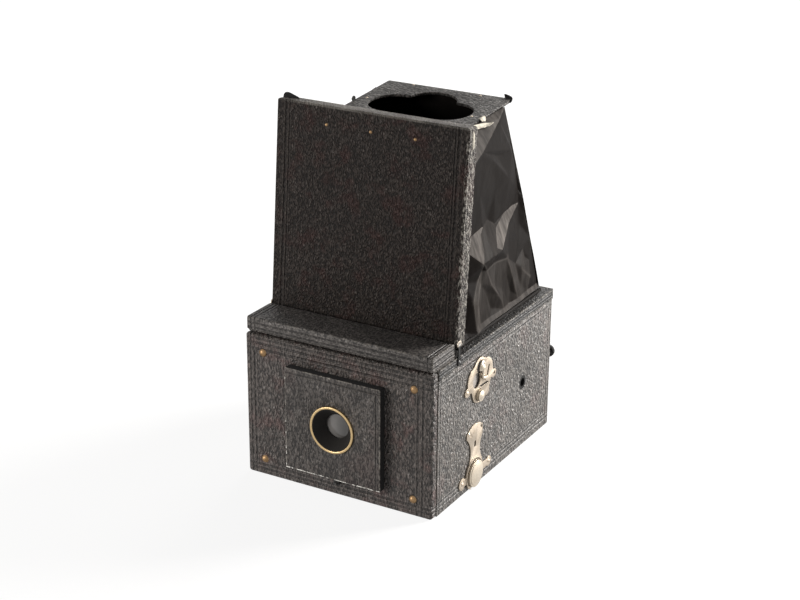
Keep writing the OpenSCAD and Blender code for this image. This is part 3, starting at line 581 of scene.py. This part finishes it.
# The floor pales to the white of the background far from the object, so no horizon shows
floor_paint = Shader("pale floor")
floor_reach = floor_paint.node("ShaderNodeVectorMath", {"operation": "LENGTH"},
                               {0: floor_paint.place()}, "Value")
floor_seen = floor_paint.step(floor_reach, 0.35, 1.8, 0.86, 1.0)
floor_paint.set(Base_Color=(0.2, 0.2, 0.2), Roughness=1.0, Specular_IOR_Level=0.0, Emission_Color=(1, 1, 1))
floor_paint.tree.links.new(shown_light(floor_paint.tree, 0.5, floor_seen),
                           floor_paint.surface.inputs["Emission Strength"])
bpy.ops.mesh.primitive_plane_add(size=30, location=(0, 0, -0.0002))
floor = begin("floor")
floor.data.materials.append(floor_paint.material)

# ------------------------------------------------------- metals, paints, glass

nickel = metal("worn nickel", (0.4, 0.342, 0.275), (0.2, 0.155, 0.1), 0.38, 0.6, 700)
bright_nickel = metal("bright nickel", (0.52, 0.46, 0.375), (0.28, 0.22, 0.16), 0.34, 0.45, 700)
brass = metal("aged brass", (0.26, 0.165, 0.085), (0.08, 0.045, 0.02), 0.36, 0.9, 1100)
old_brass = metal("tarnished brass", (0.16, 0.115, 0.065), (0.05, 0.035, 0.02), 0.42, 0.9, 700)
ring_brass = metal("polished brass", (0.52, 0.38, 0.2), (0.28, 0.18, 0.08), 0.26, 0.45, 1200)
steel = metal("drawn steel", (0.42, 0.41, 0.39), (0.16, 0.12, 0.09), 0.35, 0.5, 500)
disc_metal = metal("grey index disc", (0.3, 0.28, 0.26), (0.17, 0.14, 0.12), 0.5, 0.4, 500)
black_metal = black_paint("black japanned metal", (0.012, 0.011, 0.01), 0.35)
funnel_paint = black_paint("dull black funnel", (0.012, 0.0105, 0.0095), 0.5, (0.024, 0.021, 0.019),
                           gloss=0.15)
inner_black = black_paint("matt black inside", (0.035, 0.03, 0.027), 0.7, (0.05, 0.043, 0.036))
edge_black = black_paint("black painted edge", (0.004, 0.0036, 0.0034), 0.75, (0.012, 0.011, 0.01), 400, 0.3)
black_wood = stained_wood("black stained wood", (0.02, 0.016, 0.013))
lens_glass = glass("lens glass", (0.2, 0.19, 0.182), 0.1, 0.92, 0.8)
ground_glass = glass("ground glass", (0.62, 0.64, 0.62), 0.55, 0.7)
plate_glass = glass("coated plate", (0.5, 0.5, 0.44), 0.3, 0.8)
silver = silvered("silvered glass")
strap_finish = blackened_strap("blackened strap, bright at its loop")
oilcloth = creased_oilcloth("creased oilcloth")
lining = torn_lining("torn pale lining")

# --------------------------------------------------------------- the coverings

X, Y, Z = 0, 1, 2
# The same leather covers every board, its tone set board by board as painted light and shade; the sides'
# lighter tone is painted light.
FRONT_TONE = (0.078, 0.066, 0.0595)
SIDE_TONE = (0.094, 0.0845, 0.0755)

# Boards that the coverings fill, each from corner to corner in millimetres
BOX = ((-70, -85.5, 0), (70, 85.5, 94.2))
FRONT = ((-70, -85.5, 0), (70, -78.5, 100.6))
BASE = ((-70, -85.5, 0), (70, 85.5, 6))
TOP = ((-70, -78.2, 94.4), (70, 87, 101.2))
LEDGE = ((-69, -84.5, 101.2), (69, -56.5, 111.6))
LID = ((-69.5, -60, 100), (69.5, -30, 250))
PANEL = ((-35.75, -91.7, 14.05), (35.75, -86, 85.55))
EYE_BOARD = ((-47, -36, 230), (47, 60.5, 240.5))
DOOR = ((-62.1, 79.5, 6.4), (61.8, 85.5, 94))

front_leather = leather(
    "front covering", FRONT_TONE, *FRONT, (1.7, 1, 0.8), (0, 42, 0), 0.003, red=0.45, gloss=0.34,
    lines=[(Z, 98.0, 0.55), (Z, 94.7, 0.6), (Z, 90.9, 0.6), (Z, 7.6, 0.6), (Z, 4.6, 0.6), (X, -62.6, 0.6),
           (X, -65.6, 0.5), (X, 59.6, 0.6), (X, 63.4, 0.6)])
side_leather = leather(
    "side covering", SIDE_TONE, *BOX, (1, 1.5, 0.75), (-24, 0, 0), 0.003, red=0.2,
    lines=[(Z, 90.7, 0.6), (Z, 8.4, 0.6), (Z, 5.4, 0.6), (Y, 79.0, 0.6), (Y, 82.4, 0.5), (Y, -76.0, 0.6),
           (Y, -79.5, 0.5)])
top_leather = leather(
    "top covering", (0.021, 0.0185, 0.0165), *TOP, (1, 1, 1), (0, 0, 20), height=0.6, worn=0.7, gloss=0.3,
    lines=[(Z, 97.2, 0.5)])
ledge_leather = leather(
    "ledge covering", (0.094, 0.085, 0.079), *LEDGE, (1.2, 0.8, 1.0), (0, 30, 8), height=0.35, worn=0.6,
    rough=0.4, gloss=0.26,
    lines=[(Z, 107.9, 0.5), (Z, 104.6, 0.5), (X, -65.5, 0.5), (X, -62.5, 0.5), (X, 65.5, 0.5)])
lid_leather = leather(
    "lid covering", (0.028, 0.0222, 0.0188), *LID, (1.5, 1, 0.8), (0, 16, 0), 0.0021, red=0.6, band=0.8,
    gloss=0.12, crown=245.7, marks=[(-10.2, 218.4, 2.6), (5.1, 220.8, 3.2)],
    lines=[(X, -62.6, 0.7), (X, -60.0, 0.4), (X, 62.7, 0.7), (X, 60.3, 0.4)])
panel_leather = leather(
    "panel covering", (0.07, 0.061, 0.055), *PANEL, (1.7, 1, 0.8), (0, 42, 0), 0.0027, red=0.15, height=0.7,
    worn=1.0, gloss=0.3, lines=[(Z, 82.4, 0.4), (X, 32.6, 0.4)],
    chips=[(Z, 14.3, 0.7, 0.5), (X, -35.5, 0.4, 0.25)])
eye_leather = leather(
    "eye board covering", (0.06, 0.054, 0.049), *EYE_BOARD, (0.8, 1.3, 1), (0, 0, 5), 0.0026, height=0.6,
    worn=0.2, rough=0.42, gloss=0.24)
door_leather = leather(
    "door covering", SIDE_TONE, *DOOR, (1.5, 1, 0.8), (0, 30, 0), 0.0024, red=0.3,
    lines=[(Z, 88, 0.6), (Z, 12, 0.6), (X, 56, 0.6), (X, -56, 0.6)])
base_leather = leather("base covering", FRONT_TONE, *BASE, (1, 1.2, 1), (0, 0, 25), 0.0024)

# --------------------------------------------------------- the covered boards

# Each board, its node, its covering, its body, how far its edges are rounded in mm, and in how many steps
for board, node, covering, body, round_mm, steps in (
        ("right_wall", "right_wall", side_leather, "body", 0.7, 3),
        ("left_wall", "left_wall", side_leather, "body", 0.7, 3),
        ("base", "base_board", base_leather, "body", 0.4, 2),
        ("top_frame", "top_frame", top_leather, "body", 1.3, 4),
        ("ledge", "front_ledge", ledge_leather, "body", 1.5, 4),
        ("lid", "lid_board", lid_leather, "lid", 1.3, 4),
        ("door", "back_door", door_leather, "door", 0.7, 3),
        ("eye_board", "eye_board", eye_leather, "eye_shade", 0.5, 3),
        ("panel", "lens_panel", panel_leather, "lens_carriage", 0.35, 2)):
    dress(from_node(board + "_covered", node, round_mm, steps), covering, "leather_cloth", body, node)

# The panel's edges are bare and black behind its front
panel = bpy.data.objects["panel_covered"]
panel.data.materials.append(edge_black)
for face in panel.data.polygons:
    if face.center.y > -91.2 * MM and abs(face.normal.y) < 0.5:
        face.material_index = 1

front = slab("front_covered", *FRONT, round_mm=2.1, steps=5)
cut(front, slab("window", (-35.2, -90, 14.6), (35.2, -70, 85)))
dress(soften(front), front_leather, "leather_cloth", "body", "front_board")

# ---------------------------------------------------------------- the fittings

for node in ("release_plate", "knob_plate"):
    dress(from_node(node + "_dressed", node, 0.18), nickel, "nickel", "body", node)
dress(from_node("straps_dressed", "lid_straps", 0.12), strap_finish, "nickel", "body", "lid_straps")
for node, finish_metal, slot, body in (
        ("lever_cap", bright_nickel, "nickel", "release"),
        ("release_button", bright_nickel, "nickel", "button"),
        ("plate_screws", nickel, "steel", "body"), ("front_nails", brass, "brass", "body"),
        ("lid_nails", brass, "brass", "lid"), ("eye_pins", nickel, "nickel", "eye_shade"),
        ("strap_pins", black_metal, "steel", "body"), ("lid_pins", steel, "steel", "lid"),
        ("lens_ring", ring_brass, "brass", "lens_carriage"), ("tripod_bushes", edge_black, "brass", "body"),
        ("back_latch", edge_black, "matt_black_metal", "latch"),
        ("lens_funnel", funnel_paint, "matt_black_metal", "lens_carriage"),
        ("front_glass", lens_glass, "lens_glass", "lens_carriage")):
    dress(from_node(node + "_turned", node), finish_metal, slot, body, node)

# Release lever: a flattened wire bent over its hub, with a button for the finger at its end
LEVER_X = 71.95
LEVER_BENDS = [(-26.0, 82.4), (-25.6, 86.2), (-22.8, 87.8), (-20.4, 85.8), (-20.3, 82.6), (-21.6, 79.4),
               (-22.3, 76.8), (-20.6, 75.2), (-17.9, 74.6)]
lever = wire("lever_dressed", [(LEVER_X, y, z) for y, z in LEVER_BENDS], radius=1.0, flat=0.75)
add(lever, drum("hub", (LEVER_X, -23.7, 84), "X", radius=2.3, depth=1.3, sides=40, round_mm=0.15))
add(lever, drum("finger", (LEVER_X, -17.6, 74.4), "X", radius=1.7, depth=1.4, sides=32, round_mm=0.3))
dress(soften(lever), bright_nickel, "nickel", "release", "release_lever")

# Black slabs behind the release plate's slots: painted shade where they show shadow
for name, low, high in (("slot_shade_long", (70.0, -15.6, 72.6), (70.12, -10.0, 81.9)),
                        ("slot_shade_low", (70.0, -25.8, 68.7), (70.12, -11.6, 71.2))):
    dress(slab(name, low, high, 0.03, 2), edge_black, "matt_black_metal", "body")

# Focusing knob: a turned disc with a milled rim
KNOB_X, KNOB_Y, KNOB_Z = 72.0, -29.2, 10
knob = drum("knob_milled", (KNOB_X, KNOB_Y, KNOB_Z), "X", radius=9.3, depth=1.6, sides=72, round_mm=0.25)
pick(knob, lambda face: abs(face.center.x - KNOB_X * MM) < 0.3 * MM and len(face.vertices) == 4)
bpy.ops.mesh.inset(thickness=0.12 * MM, use_individual=True)
bpy.ops.transform.shrink_fatten(value=-0.22 * MM)
bpy.ops.object.mode_set(mode="OBJECT")
add(knob, drum("cap", (KNOB_X + 0.9, KNOB_Y, KNOB_Z), "X", radius=8.1, depth=0.7, sides=72, round_mm=0.2))
dress(soften(knob), bright_nickel, "nickel", "focus_shaft", "focus_knob")

latch_knob = drum("latch_knob_turned", (66.2, 90.3, 52.6), "Y", radius=4.4, depth=4.2, sides=48,
                  round_mm=1.4, steps=4)
dress(soften(latch_knob), edge_black, "matt_black_metal", "latch")

coat(inner_black, "well_floor", "plate_mask", "plate_sheath", "shutter_plate", "lens_barrel",
     "pressure_board")
coat(black_wood, "screen_frame", "plate_rails", "lens_guide", "lens_box", "mirror_frame", "hood_base_frame")
coat(steel, "focus_spindle", "mirror_axle", "release_shaft", "mirror_link", "shutter_blade",
     "pressure_springs")
coat(disc_metal, "index_disc")
coat(brass, "retaining_ring", "focus_racks", "focus_pinions")
coat(old_brass, "door_hinge_leaves", "door_hinge_wings")
coat(nickel, "eye_hinge_leaves", "eye_hinge_wings")
coat(black_metal, "panel_catch")
coat(lens_glass, "rear_glass")
coat(ground_glass, "focusing_screen")
coat(plate_glass, "glass_plate")
coat(silver, "mirror_glass")

# ----------------------------------------------------------------- hood cloth

# The side panels are folded like paper, as measured from the photograph. Each fold point is
# (front to back, foot to top, mm that it stands out).
SIDE_POINTS = [
    # the foot
    (0.0, 0.0, 1.2), (0.12, 0.0, 1), (0.2, 0.0, 3.2), (0.27, 0.0, 2), (0.39, 0.0, 1.4), (0.55, 0.0, 1.8),
    (0.73, 0.0, 1.8), (0.87, 0.0, 1.2), (1.0, 0.0, 0.6),
    # the fold just above the foot
    (0.0, 0.022, 0), (0.12, 0.022, -1), (0.2, 0.022, 2.4), (0.27, 0.022, 0.4), (0.39, 0.022, 0),
    (0.545, 0.022, 1), (0.63, 0.022, -0.4), (0.73, 0.022, 1), (0.87, 0.022, 0), (1.0, 0.022, 0),
    # the lower folds, and the rear edge beside them
    (0.09, 0.14, -3.2), (0.1, 0.28, -3), (0.175, 0.167, 1.2), (0.208, 0.147, 2.8), (0.263, 0.255, -0.6),
    (0.272, 0.23, 0.9), (0.31, 0.292, -0.3), (0.381, 0.153, -1.6), (0.421, 0.062, -1.2),
    (0.351, 0.282, 1.6), (0.406, 0.191, 1.7), (0.487, 0.113, 1.8), (0.529, 0.066, 1.7),
    (0.478, 0.166, -0.5), (0.577, 0.109, -0.6), (0.485, 0.286, 0.2), (0.666, 0.26, 0.2),
    (0.683, 0.164, 1.6), (0.701, 0.075, 1.7), (0.714, 0.039, 1.6), (0.643, 0.179, -0.6),
    (0.663, 0.083, -0.6), (0.792, 0.072, -0.4), (0.77, 0.2, -0.6), (0.867, 0.298, -1.6),
    (0.897, 0.249, -0.4), (0.817, 0.158, 1.4), (0.92, 0.083, 0.4), (0.899, 0.203, -0.2),
    (0.938, 0.173, 0.6), (1.005, 0.15, 0), (1.015, 0.28, 0), (1.02, 0.4, 0),
    # the lower side of the wide fold
    (0.0, 0.42, 0.4), (0.116, 0.422, 1.2), (0.266, 0.338, 4.0), (0.409, 0.342, 4.4), (0.539, 0.343, 4.0),
    (0.625, 0.38, 2.2), (0.753, 0.435, -0.2), (0.842, 0.454, -1.0), (0.93, 0.38, -2.6),
    (0.485, 0.363, 2.9), (0.565, 0.45, -1.3), (0.317, 0.391, 1.6), (0.322, 0.471, -1.0),
    (0.22, 0.43, 0.6),
    # the upper side of the wide fold
    (0.0, 0.5, -1.4), (0.219, 0.487, -2.0), (0.379, 0.497, -1.8), (0.474, 0.509, -3.2),
    (0.569, 0.464, -2.4), (0.724, 0.481, -2.6), (0.89, 0.488, -2.7), (0.975, 0.485, -2.2),
    (1.025, 0.504, 0),
    # the upper folds
    (0.0, 0.7, 0), (0.3, 0.68, 0), (0.58, 0.63, -0.6), (0.827, 0.661, 1.0), (0.988, 0.547, -1.5),
    (0.985, 0.66, 0),
    # the ridge under the eye board, and the top
    (0.0, 0.8, 0), (0.365, 0.873, 0.6), (0.527, 0.818, 1.2), (0.68, 0.8, -0.6), (0.96, 0.779, 0.8),
    (0.985, 0.8, 0), (0.6, 0.92, 0.4), (0.8, 0.96, 0.3), (0.0, 1.0, 0), (0.42, 1.0, 0), (0.86, 1.0, 0),
    (1.0, 1.0, 0),
]
SIDE_FOLDS = [
    [(0.0, 0.8), (0.365, 0.873), (0.6, 0.92), (0.8, 0.96), (1.0, 1.0)],
    [(0.0, 0.022), (0.12, 0.022), (0.2, 0.022), (0.27, 0.022), (0.39, 0.022), (0.545, 0.022),
     (0.63, 0.022), (0.73, 0.022), (0.87, 0.022), (1.0, 0.022)],
    [(0.365, 0.873), (0.96, 0.779)],
    [(0.365, 0.873), (0.527, 0.818), (0.827, 0.661), (0.988, 0.547)],
    [(0.975, 0.485), (0.89, 0.488), (0.724, 0.481), (0.569, 0.464), (0.474, 0.509), (0.379, 0.497),
     (0.219, 0.487), (0.0, 0.5)],
    [(0.975, 0.485), (0.842, 0.454), (0.753, 0.435), (0.625, 0.38), (0.539, 0.343), (0.409, 0.342),
     (0.266, 0.338), (0.116, 0.422), (0.0, 0.42)],
    [(0.724, 0.481), (0.565, 0.45), (0.485, 0.363), (0.539, 0.343)],
    [(0.379, 0.497), (0.322, 0.471), (0.317, 0.391), (0.266, 0.338)],
    [(0.266, 0.338), (0.31, 0.292), (0.263, 0.255), (0.175, 0.167), (0.2, 0.022)],
    [(0.31, 0.292), (0.272, 0.23), (0.208, 0.147), (0.27, 0.022)],
    [(0.266, 0.338), (0.351, 0.282), (0.406, 0.191), (0.487, 0.113), (0.529, 0.066), (0.545, 0.022)],
    [(0.351, 0.282), (0.485, 0.286), (0.666, 0.26), (0.683, 0.164), (0.701, 0.075), (0.714, 0.039),
     (0.73, 0.022)],
    [(0.625, 0.38), (0.666, 0.26)],
    [(0.897, 0.249), (0.938, 0.173)],
    [(0.817, 0.158), (0.92, 0.083)],
]
# The folds that are rubbed grey, by their place in the list above
RUBBED_FOLDS = (8, 9, 10, 11, 14)
BACK_POINTS = [
    (0.25, 0.0, 1), (0.5, 0.0, 1), (0.75, 0.0, 1), (0.18, 0.2, -3), (0.42, 0.16, 3), (0.6, 0.24, -2.5),
    (0.84, 0.19, 2.4), (0.3, 0.42, 3), (0.55, 0.45, -3.4), (0.78, 0.4, 3), (0.14, 0.5, -3),
    (0.9, 0.49, -2.4), (0.35, 0.56, -4), (0.66, 0.55, 3), (0.24, 0.72, 2.5), (0.5, 0.76, -2),
    (0.74, 0.7, 2), (0.4, 0.9, 1), (0.04, 1.0, 0), (0.96, 1.0, 0), (0.12, 1.0, 0), (0.3, 1.0, 0),
    (0.5, 1.0, 0), (0.7, 1.0, 0), (0.88, 1.0, 0),
]

# The cloth's foot on its frame, and the side panels' corners: foot and top at the lid, then at the back
FOOT_Z, TOP_Z = 104.0, 237.9
SIDE_CORNERS = [(63, -43, FOOT_Z), (62.4, -33.2, TOP_Z), (61.4, 79.5, FOOT_Z), (48.7, 44.8, 237.8)]
BOARD_EDGE = 47.9          # half width of the eye board, where the cloth is glued
BOARD_PITCH = 0.0699       # how the eye board rises towards the back
RIDGE_FOOT = 0.8           # where the ridge under the eye board meets the lid, from foot to top
BACK_BOW = 8.4             # how far the back panel bows out at its top


def board_side(y):
    """Height on the side of the eye board, where the cloth is glued."""
    return 231.9 + (y + 37.75) * BOARD_PITCH


def on_side(along, rise, out):
    """A place on a side panel, in millimetres: its four corners, drawn evenly between.
    Above a ridge from the lid to the back corner, the cloth turns in to the edge of the eye board."""
    a, b, c, d = (Vector(p) for p in SIDE_CORNERS)
    ridge_rise = RIDGE_FOOT + (1 - RIDGE_FOOT) * along
    ridge = min(rise, ridge_rise)
    place = a.lerp(b, ridge).lerp(c.lerp(d, ridge), along) + Vector((out, 0, 0))
    if rise > ridge:
        y = b.lerp(d, along).y
        place = place.lerp(Vector((BOARD_EDGE, y, board_side(y))), (rise - ridge) / (1 - ridge_rise))
    return place


def is_rear(point):
    """Whether a fold point lies on the rear edge of a side panel."""
    return point[0] > 0.98


def on_back(along, rise, out):
    """A place on the back panel, whose side edges follow the rear edges of the side panels."""
    edge = min(filter(is_rear, SIDE_POINTS), key=lambda p: abs(p[1] - rise))
    corner = on_side(edge[0], rise, edge[2])
    inner = on_side(1.0, rise, 0)
    from_corner = min(along, 1 - along)
    hold = max(0.0, 1 - from_corner * 5)
    bow = BACK_BOW * 4 * along * (1 - along) * rise ** 3
    tuck = 1.8 * min(1.0, from_corner * 25) * rise ** 3
    return Vector((corner.x * (1 - 2 * along), inner.y + (corner.y - inner.y) * hold + out + bow,
                   corner.z + bow * BOARD_PITCH - tuck))


# Facets given a painted sheen of light grey in place of the light they catch: how much, and the corners of
# the patch
PAINTED_SHEEN_PATCHES = [
    (1.0, [(0.975, 0.485), (0.89, 0.488), (0.724, 0.481), (0.565, 0.45), (0.485, 0.363), (0.539, 0.343),
           (0.625, 0.38), (0.753, 0.435), (0.842, 0.454)]),
    (0.14, [(0.724, 0.481), (0.569, 0.464), (0.474, 0.509), (0.379, 0.497), (0.322, 0.471),
            (0.317, 0.391), (0.266, 0.338), (0.409, 0.342), (0.539, 0.343), (0.485, 0.363),
            (0.565, 0.45)]),
    (0.75, [(0.379, 0.497), (0.219, 0.487), (0.0, 0.5), (0.0, 0.42), (0.116, 0.422), (0.266, 0.338),
            (0.317, 0.391), (0.322, 0.471)]),
    (0.6, [(0.31, 0.292), (0.263, 0.255), (0.175, 0.167), (0.2, 0.022), (0.27, 0.022), (0.208, 0.147),
           (0.272, 0.23)]),
    (0.55, [(0.0, 0.8), (0.365, 0.873), (0.6, 0.92), (0.8, 0.96), (1.0, 1.0), (0.0, 1.0)]),
    (0.5, [(0.2, -0.01), (0.2, 0.022), (0.39, 0.022), (0.63, 0.022), (1.0, 0.022), (1.0, -0.01)]),
    (0.16, [(0.31, 0.292), (0.351, 0.282), (0.666, 0.26), (0.899, 0.203), (0.92, 0.083), (0.87, 0.022),
            (0.27, 0.022), (0.208, 0.147), (0.272, 0.23)]),
]


def painted_sheen_at(u, v):
    """How much painted sheen the cloth has at a place on a side panel."""
    for much, corners in PAINTED_SHEEN_PATCHES:
        inside = False
        for (au, av), (bu, bv) in zip(corners, corners[1:] + corners[:1]):
            if (av > v) != (bv > v) and u < (bu - au) * (v - av) / (bv - av) + au:
                inside = not inside
        if inside:
            return much
    return 0.0


def cloth_panel(name, points, folds, place):
    """A panel of flat facets between fold points, each facet with its share of painted sheen."""
    number = {point[:2]: i for i, point in enumerate(points)}
    edges = [(number[a], number[b]) for fold in folds for a, b in zip(fold, fold[1:])]
    spots, _, facets, origins = delaunay_2d_cdt([Vector(p[:2]) for p in points], edges, [], 0, 0.0001)[:4]
    sheet = bmesh.new()
    corners = []
    for spot, origin in zip(spots, origins):
        out = points[origin[0]][2] if origin else 0
        corners.append(sheet.verts.new(place(spot.x, spot.y, out) * MM))
    sheen_paint = sheet.faces.layers.float.new("sheen_paint")
    for facet in facets:
        face = sheet.faces.new([corners[i] for i in facet])
        middle = sum((spots[i] for i in facet), Vector((0, 0))) / len(facet)
        face[sheen_paint] = painted_sheen_at(*middle) if folds else 0.0
    return laid(name, sheet)


def mark_worn_folds(cloth):
    """Marks how near each point of the cloth is to a rubbed fold, on both sides alike."""
    outs = {p[:2]: p[2] for p in SIDE_POINTS}
    lines = []
    for number in RUBBED_FOLDS:
        spots = [on_side(u, v, outs[(u, v)]) * MM for u, v in SIDE_FOLDS[number]]
        lines += list(zip(spots, spots[1:]))
    worn = cloth.data.attributes.new("worn_fold", "FLOAT", "POINT")
    for vertex, value in zip(cloth.data.vertices, worn.data):
        spot = Vector((abs(vertex.co.x), vertex.co.y, vertex.co.z))
        nearest = 1.0
        for first, last in lines:
            line = last - first
            share = max(0.0, min(1.0, (spot - first).dot(line) / line.length_squared))
            nearest = min(nearest, (spot - first - line * share).length)
        value.value = max(0.0, 1 - nearest / (1.2 * MM))


rear_edge = [(0.0, p[1], 0) for p in SIDE_POINTS if is_rear(p)]
panels = [
    cloth_panel("right_side", SIDE_POINTS, SIDE_FOLDS, on_side),
    cloth_panel("left_side", SIDE_POINTS, SIDE_FOLDS, lambda a, r, o: on_side(a, r, o) * Vector((-1, 1, 1))),
    cloth_panel("back", rear_edge + [(1.0, p[1], 0) for p in rear_edge] + BACK_POINTS, [], on_back)]
bpy.ops.object.select_all(action="DESELECT")
for panel_part in panels:
    panel_part.select_set(True)
bpy.context.view_layer.objects.active = panels[0]
bpy.ops.object.join()
cloth = begin("hood_cloth_folded")
only(cloth)
bpy.ops.object.mode_set(mode="EDIT")
bpy.ops.mesh.select_all(action="SELECT")
bpy.ops.mesh.remove_doubles(threshold=0.0001)
bpy.ops.mesh.normals_make_consistent(inside=False)
bpy.ops.object.mode_set(mode="OBJECT")

# Finely divided, its folds are eased everywhere but at its edges
finish(cloth, "SUBSURF", levels=3, render_levels=3, subdivision_type="SIMPLE")
hem = bmesh.new()
hem.from_mesh(cloth.data)
cloth.vertex_groups.new(name="inside").add([v.index for v in hem.verts if not v.is_boundary], 1.0, "REPLACE")
hem.free()
finish(cloth, "SMOOTH", factor=0.5, iterations=3, vertex_group="inside")
mark_worn_folds(cloth)
finish(cloth, "SOLIDIFY", thickness=0.6 * MM, offset=-1)
dress(soften(cloth, 60), oilcloth, "hood_cloth", "body", "hood_cloth")
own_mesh(cloth)

# -------------------------------------------- hem tape, frayed corners, torn lining


def frayed(name, rows, material, body, thick):
    """A small curl of torn covering or tape through rows of places, in millimetres."""
    sheet = bmesh.new()
    grid = [[sheet.verts.new(Vector(place) * MM) for place in row] for row in rows]
    for row, following in zip(grid, grid[1:]):
        for i in range(len(row) - 1):
            sheet.faces.new([row[i], row[i + 1], following[i + 1], following[i]])
    bmesh.ops.recalc_face_normals(sheet, faces=sheet.faces)
    piece = laid(name, sheet)
    finish(piece, "SUBSURF", levels=2, render_levels=2)
    finish(piece, "SOLIDIFY", thickness=thick * MM, offset=0)
    return dress(soften(piece, 60), material, "leather_cloth", body)


# The tape waves along the cloth's foot: places from front to back, each with how far it stands off, in mm
HEM_WAVE = [(-43, 0.2), (-34, 0.0), (-26, 0.6), (-19, 1.0), (-15, -0.4), (-8, 0.3), (0, 0.5), (12, 0.1),
            (24, 0.4), (36, 0.0), (48, 0.5), (60, 0.2), (72, 0.6), (79, 0.3)]
for side, sign in (("right", 1), ("left", -1)):
    frayed("hem_tape_" + side, [
        [(sign * 61.6, y, 101.5), (sign * (62.8 + w * 0.3), y, 103.4 + w * 0.3),
         (sign * (63.7 + w * 0.4), y, 102.6), (sign * (64.0 + w * 0.3), y, 101.5)]
        for y, w in HEM_WAVE], oilcloth, "body", 0.5)

frayed("torn_lining_strip", [
    [(48.6, 0.5, 236.2), (49.3, 3.0, 235.9), (49.4, 6.0, 235.6), (49.8, 10.0, 235.2), (50.2, 14.0, 234.7),
     (50.6, 18.0, 233.7), (51.6, 20.6, 233.5), (52.6, 22.1, 233.6)],
    [(49.6, 1.5, 235.0), (49.9, 4.0, 234.4), (50.2, 7.0, 234.3), (50.6, 10.5, 233.6), (50.9, 14.0, 233.5),
     (51.8, 16.4, 233.2), (52.5, 18.8, 233.4), (53.0, 20.7, 233.5)],
    [(50.4, 2.5, 233.8), (50.5, 5.0, 232.4), (51.1, 8.0, 233.1), (52.4, 9.6, 232.7), (52.2, 13.4, 233.0),
     (53.7, 13.4, 233.0), (53.3, 17.0, 233.3), (53.4, 18.8, 233.4)],
], lining, "eye_shade", 0.18)
frayed("torn_lining_curl", [
    [(46.6, 10.5, 237.2), (46.6, 13, 237.4), (47.0, 15.5, 237.6), (46.8, 18, 237.8)],
    [(47.6, 11, 238.0), (47.6, 13.5, 238.8), (48.2, 15.5, 238.3), (48.0, 18, 238.4)],
    [(48.8, 11.5, 236.9), (49.2, 14, 237.9), (49.2, 16, 236.8), (49.2, 17.5, 237.2)],
    [(49.3, 12, 235.6), (49.8, 14.5, 235.8), (49.8, 15.5, 235.2), (49.6, 16.5, 235.6)],
], lining, "eye_shade", 0.15)
frayed("eye_board_corner_curl", [
    [(41.6, 58.8, 239.2), (41.4, 59.4, 241.0), (40.6, 59.0, 242.6)],
    [(44.6, 58.6, 239.0), (45.0, 59.8, 240.8), (44.2, 59.8, 241.6)],
    [(47.0, 57.2, 238.6), (48.0, 58.6, 239.6), (47.6, 59.0, 240.8)],
    [(47.4, 53.6, 238.2), (48.6, 55.0, 238.4), (48.4, 55.6, 239.4)],
], edge_black, "eye_shade", 0.4)
frayed("eye_board_side_curl", [
    [(-46.8, 11.0, 236.0), (-47.4, 11.2, 237.4), (-47.0, 11.4, 238.6)],
    [(-46.8, 13.0, 236.2), (-47.8, 13.4, 237.8), (-47.2, 13.4, 239.4)],
    [(-46.8, 15.6, 236.4), (-47.2, 15.8, 237.4), (-47.0, 15.4, 238.4)],
], edge_black, "eye_shade", 0.3)
frayed("lid_corner_curl", [
    [(-69.2, -37.6, 246.2), (-69.4, -35.8, 248.2), (-69.0, -35.2, 249.6)],
    [(-66.4, -37.4, 246.4), (-66.6, -35.4, 248.8), (-66.2, -35.0, 250.2)],
    [(-63.4, -37.4, 246.4), (-63.2, -35.6, 248.2), (-62.8, -35.2, 249.0)],
    [(-58.0, -37.4, 246.4), (-57.6, -36.4, 247.4), (-57.2, -36.0, 247.8)],
], edge_black, "lid", 0.5)
frayed("lid_edge_fray", [
    [(69.4, -39.6, 245.6), (69.6, -39.0, 242.5), (69.5, -39.5, 240.0), (69.6, -39.0, 236.5),
     (69.5, -39.4, 233.0)],
    [(70.0, -38.8, 244.8), (70.1, -38.1, 242.0), (70.1, -38.6, 239.5), (70.1, -38.0, 237.0),
     (70.0, -38.7, 233.6)],
    [(69.7, -37.8, 243.6), (69.8, -37.0, 241.4), (69.8, -37.8, 239.0), (69.7, -37.2, 237.4),
     (69.6, -38.0, 234.2)],
], lining, "lid", 0.14)
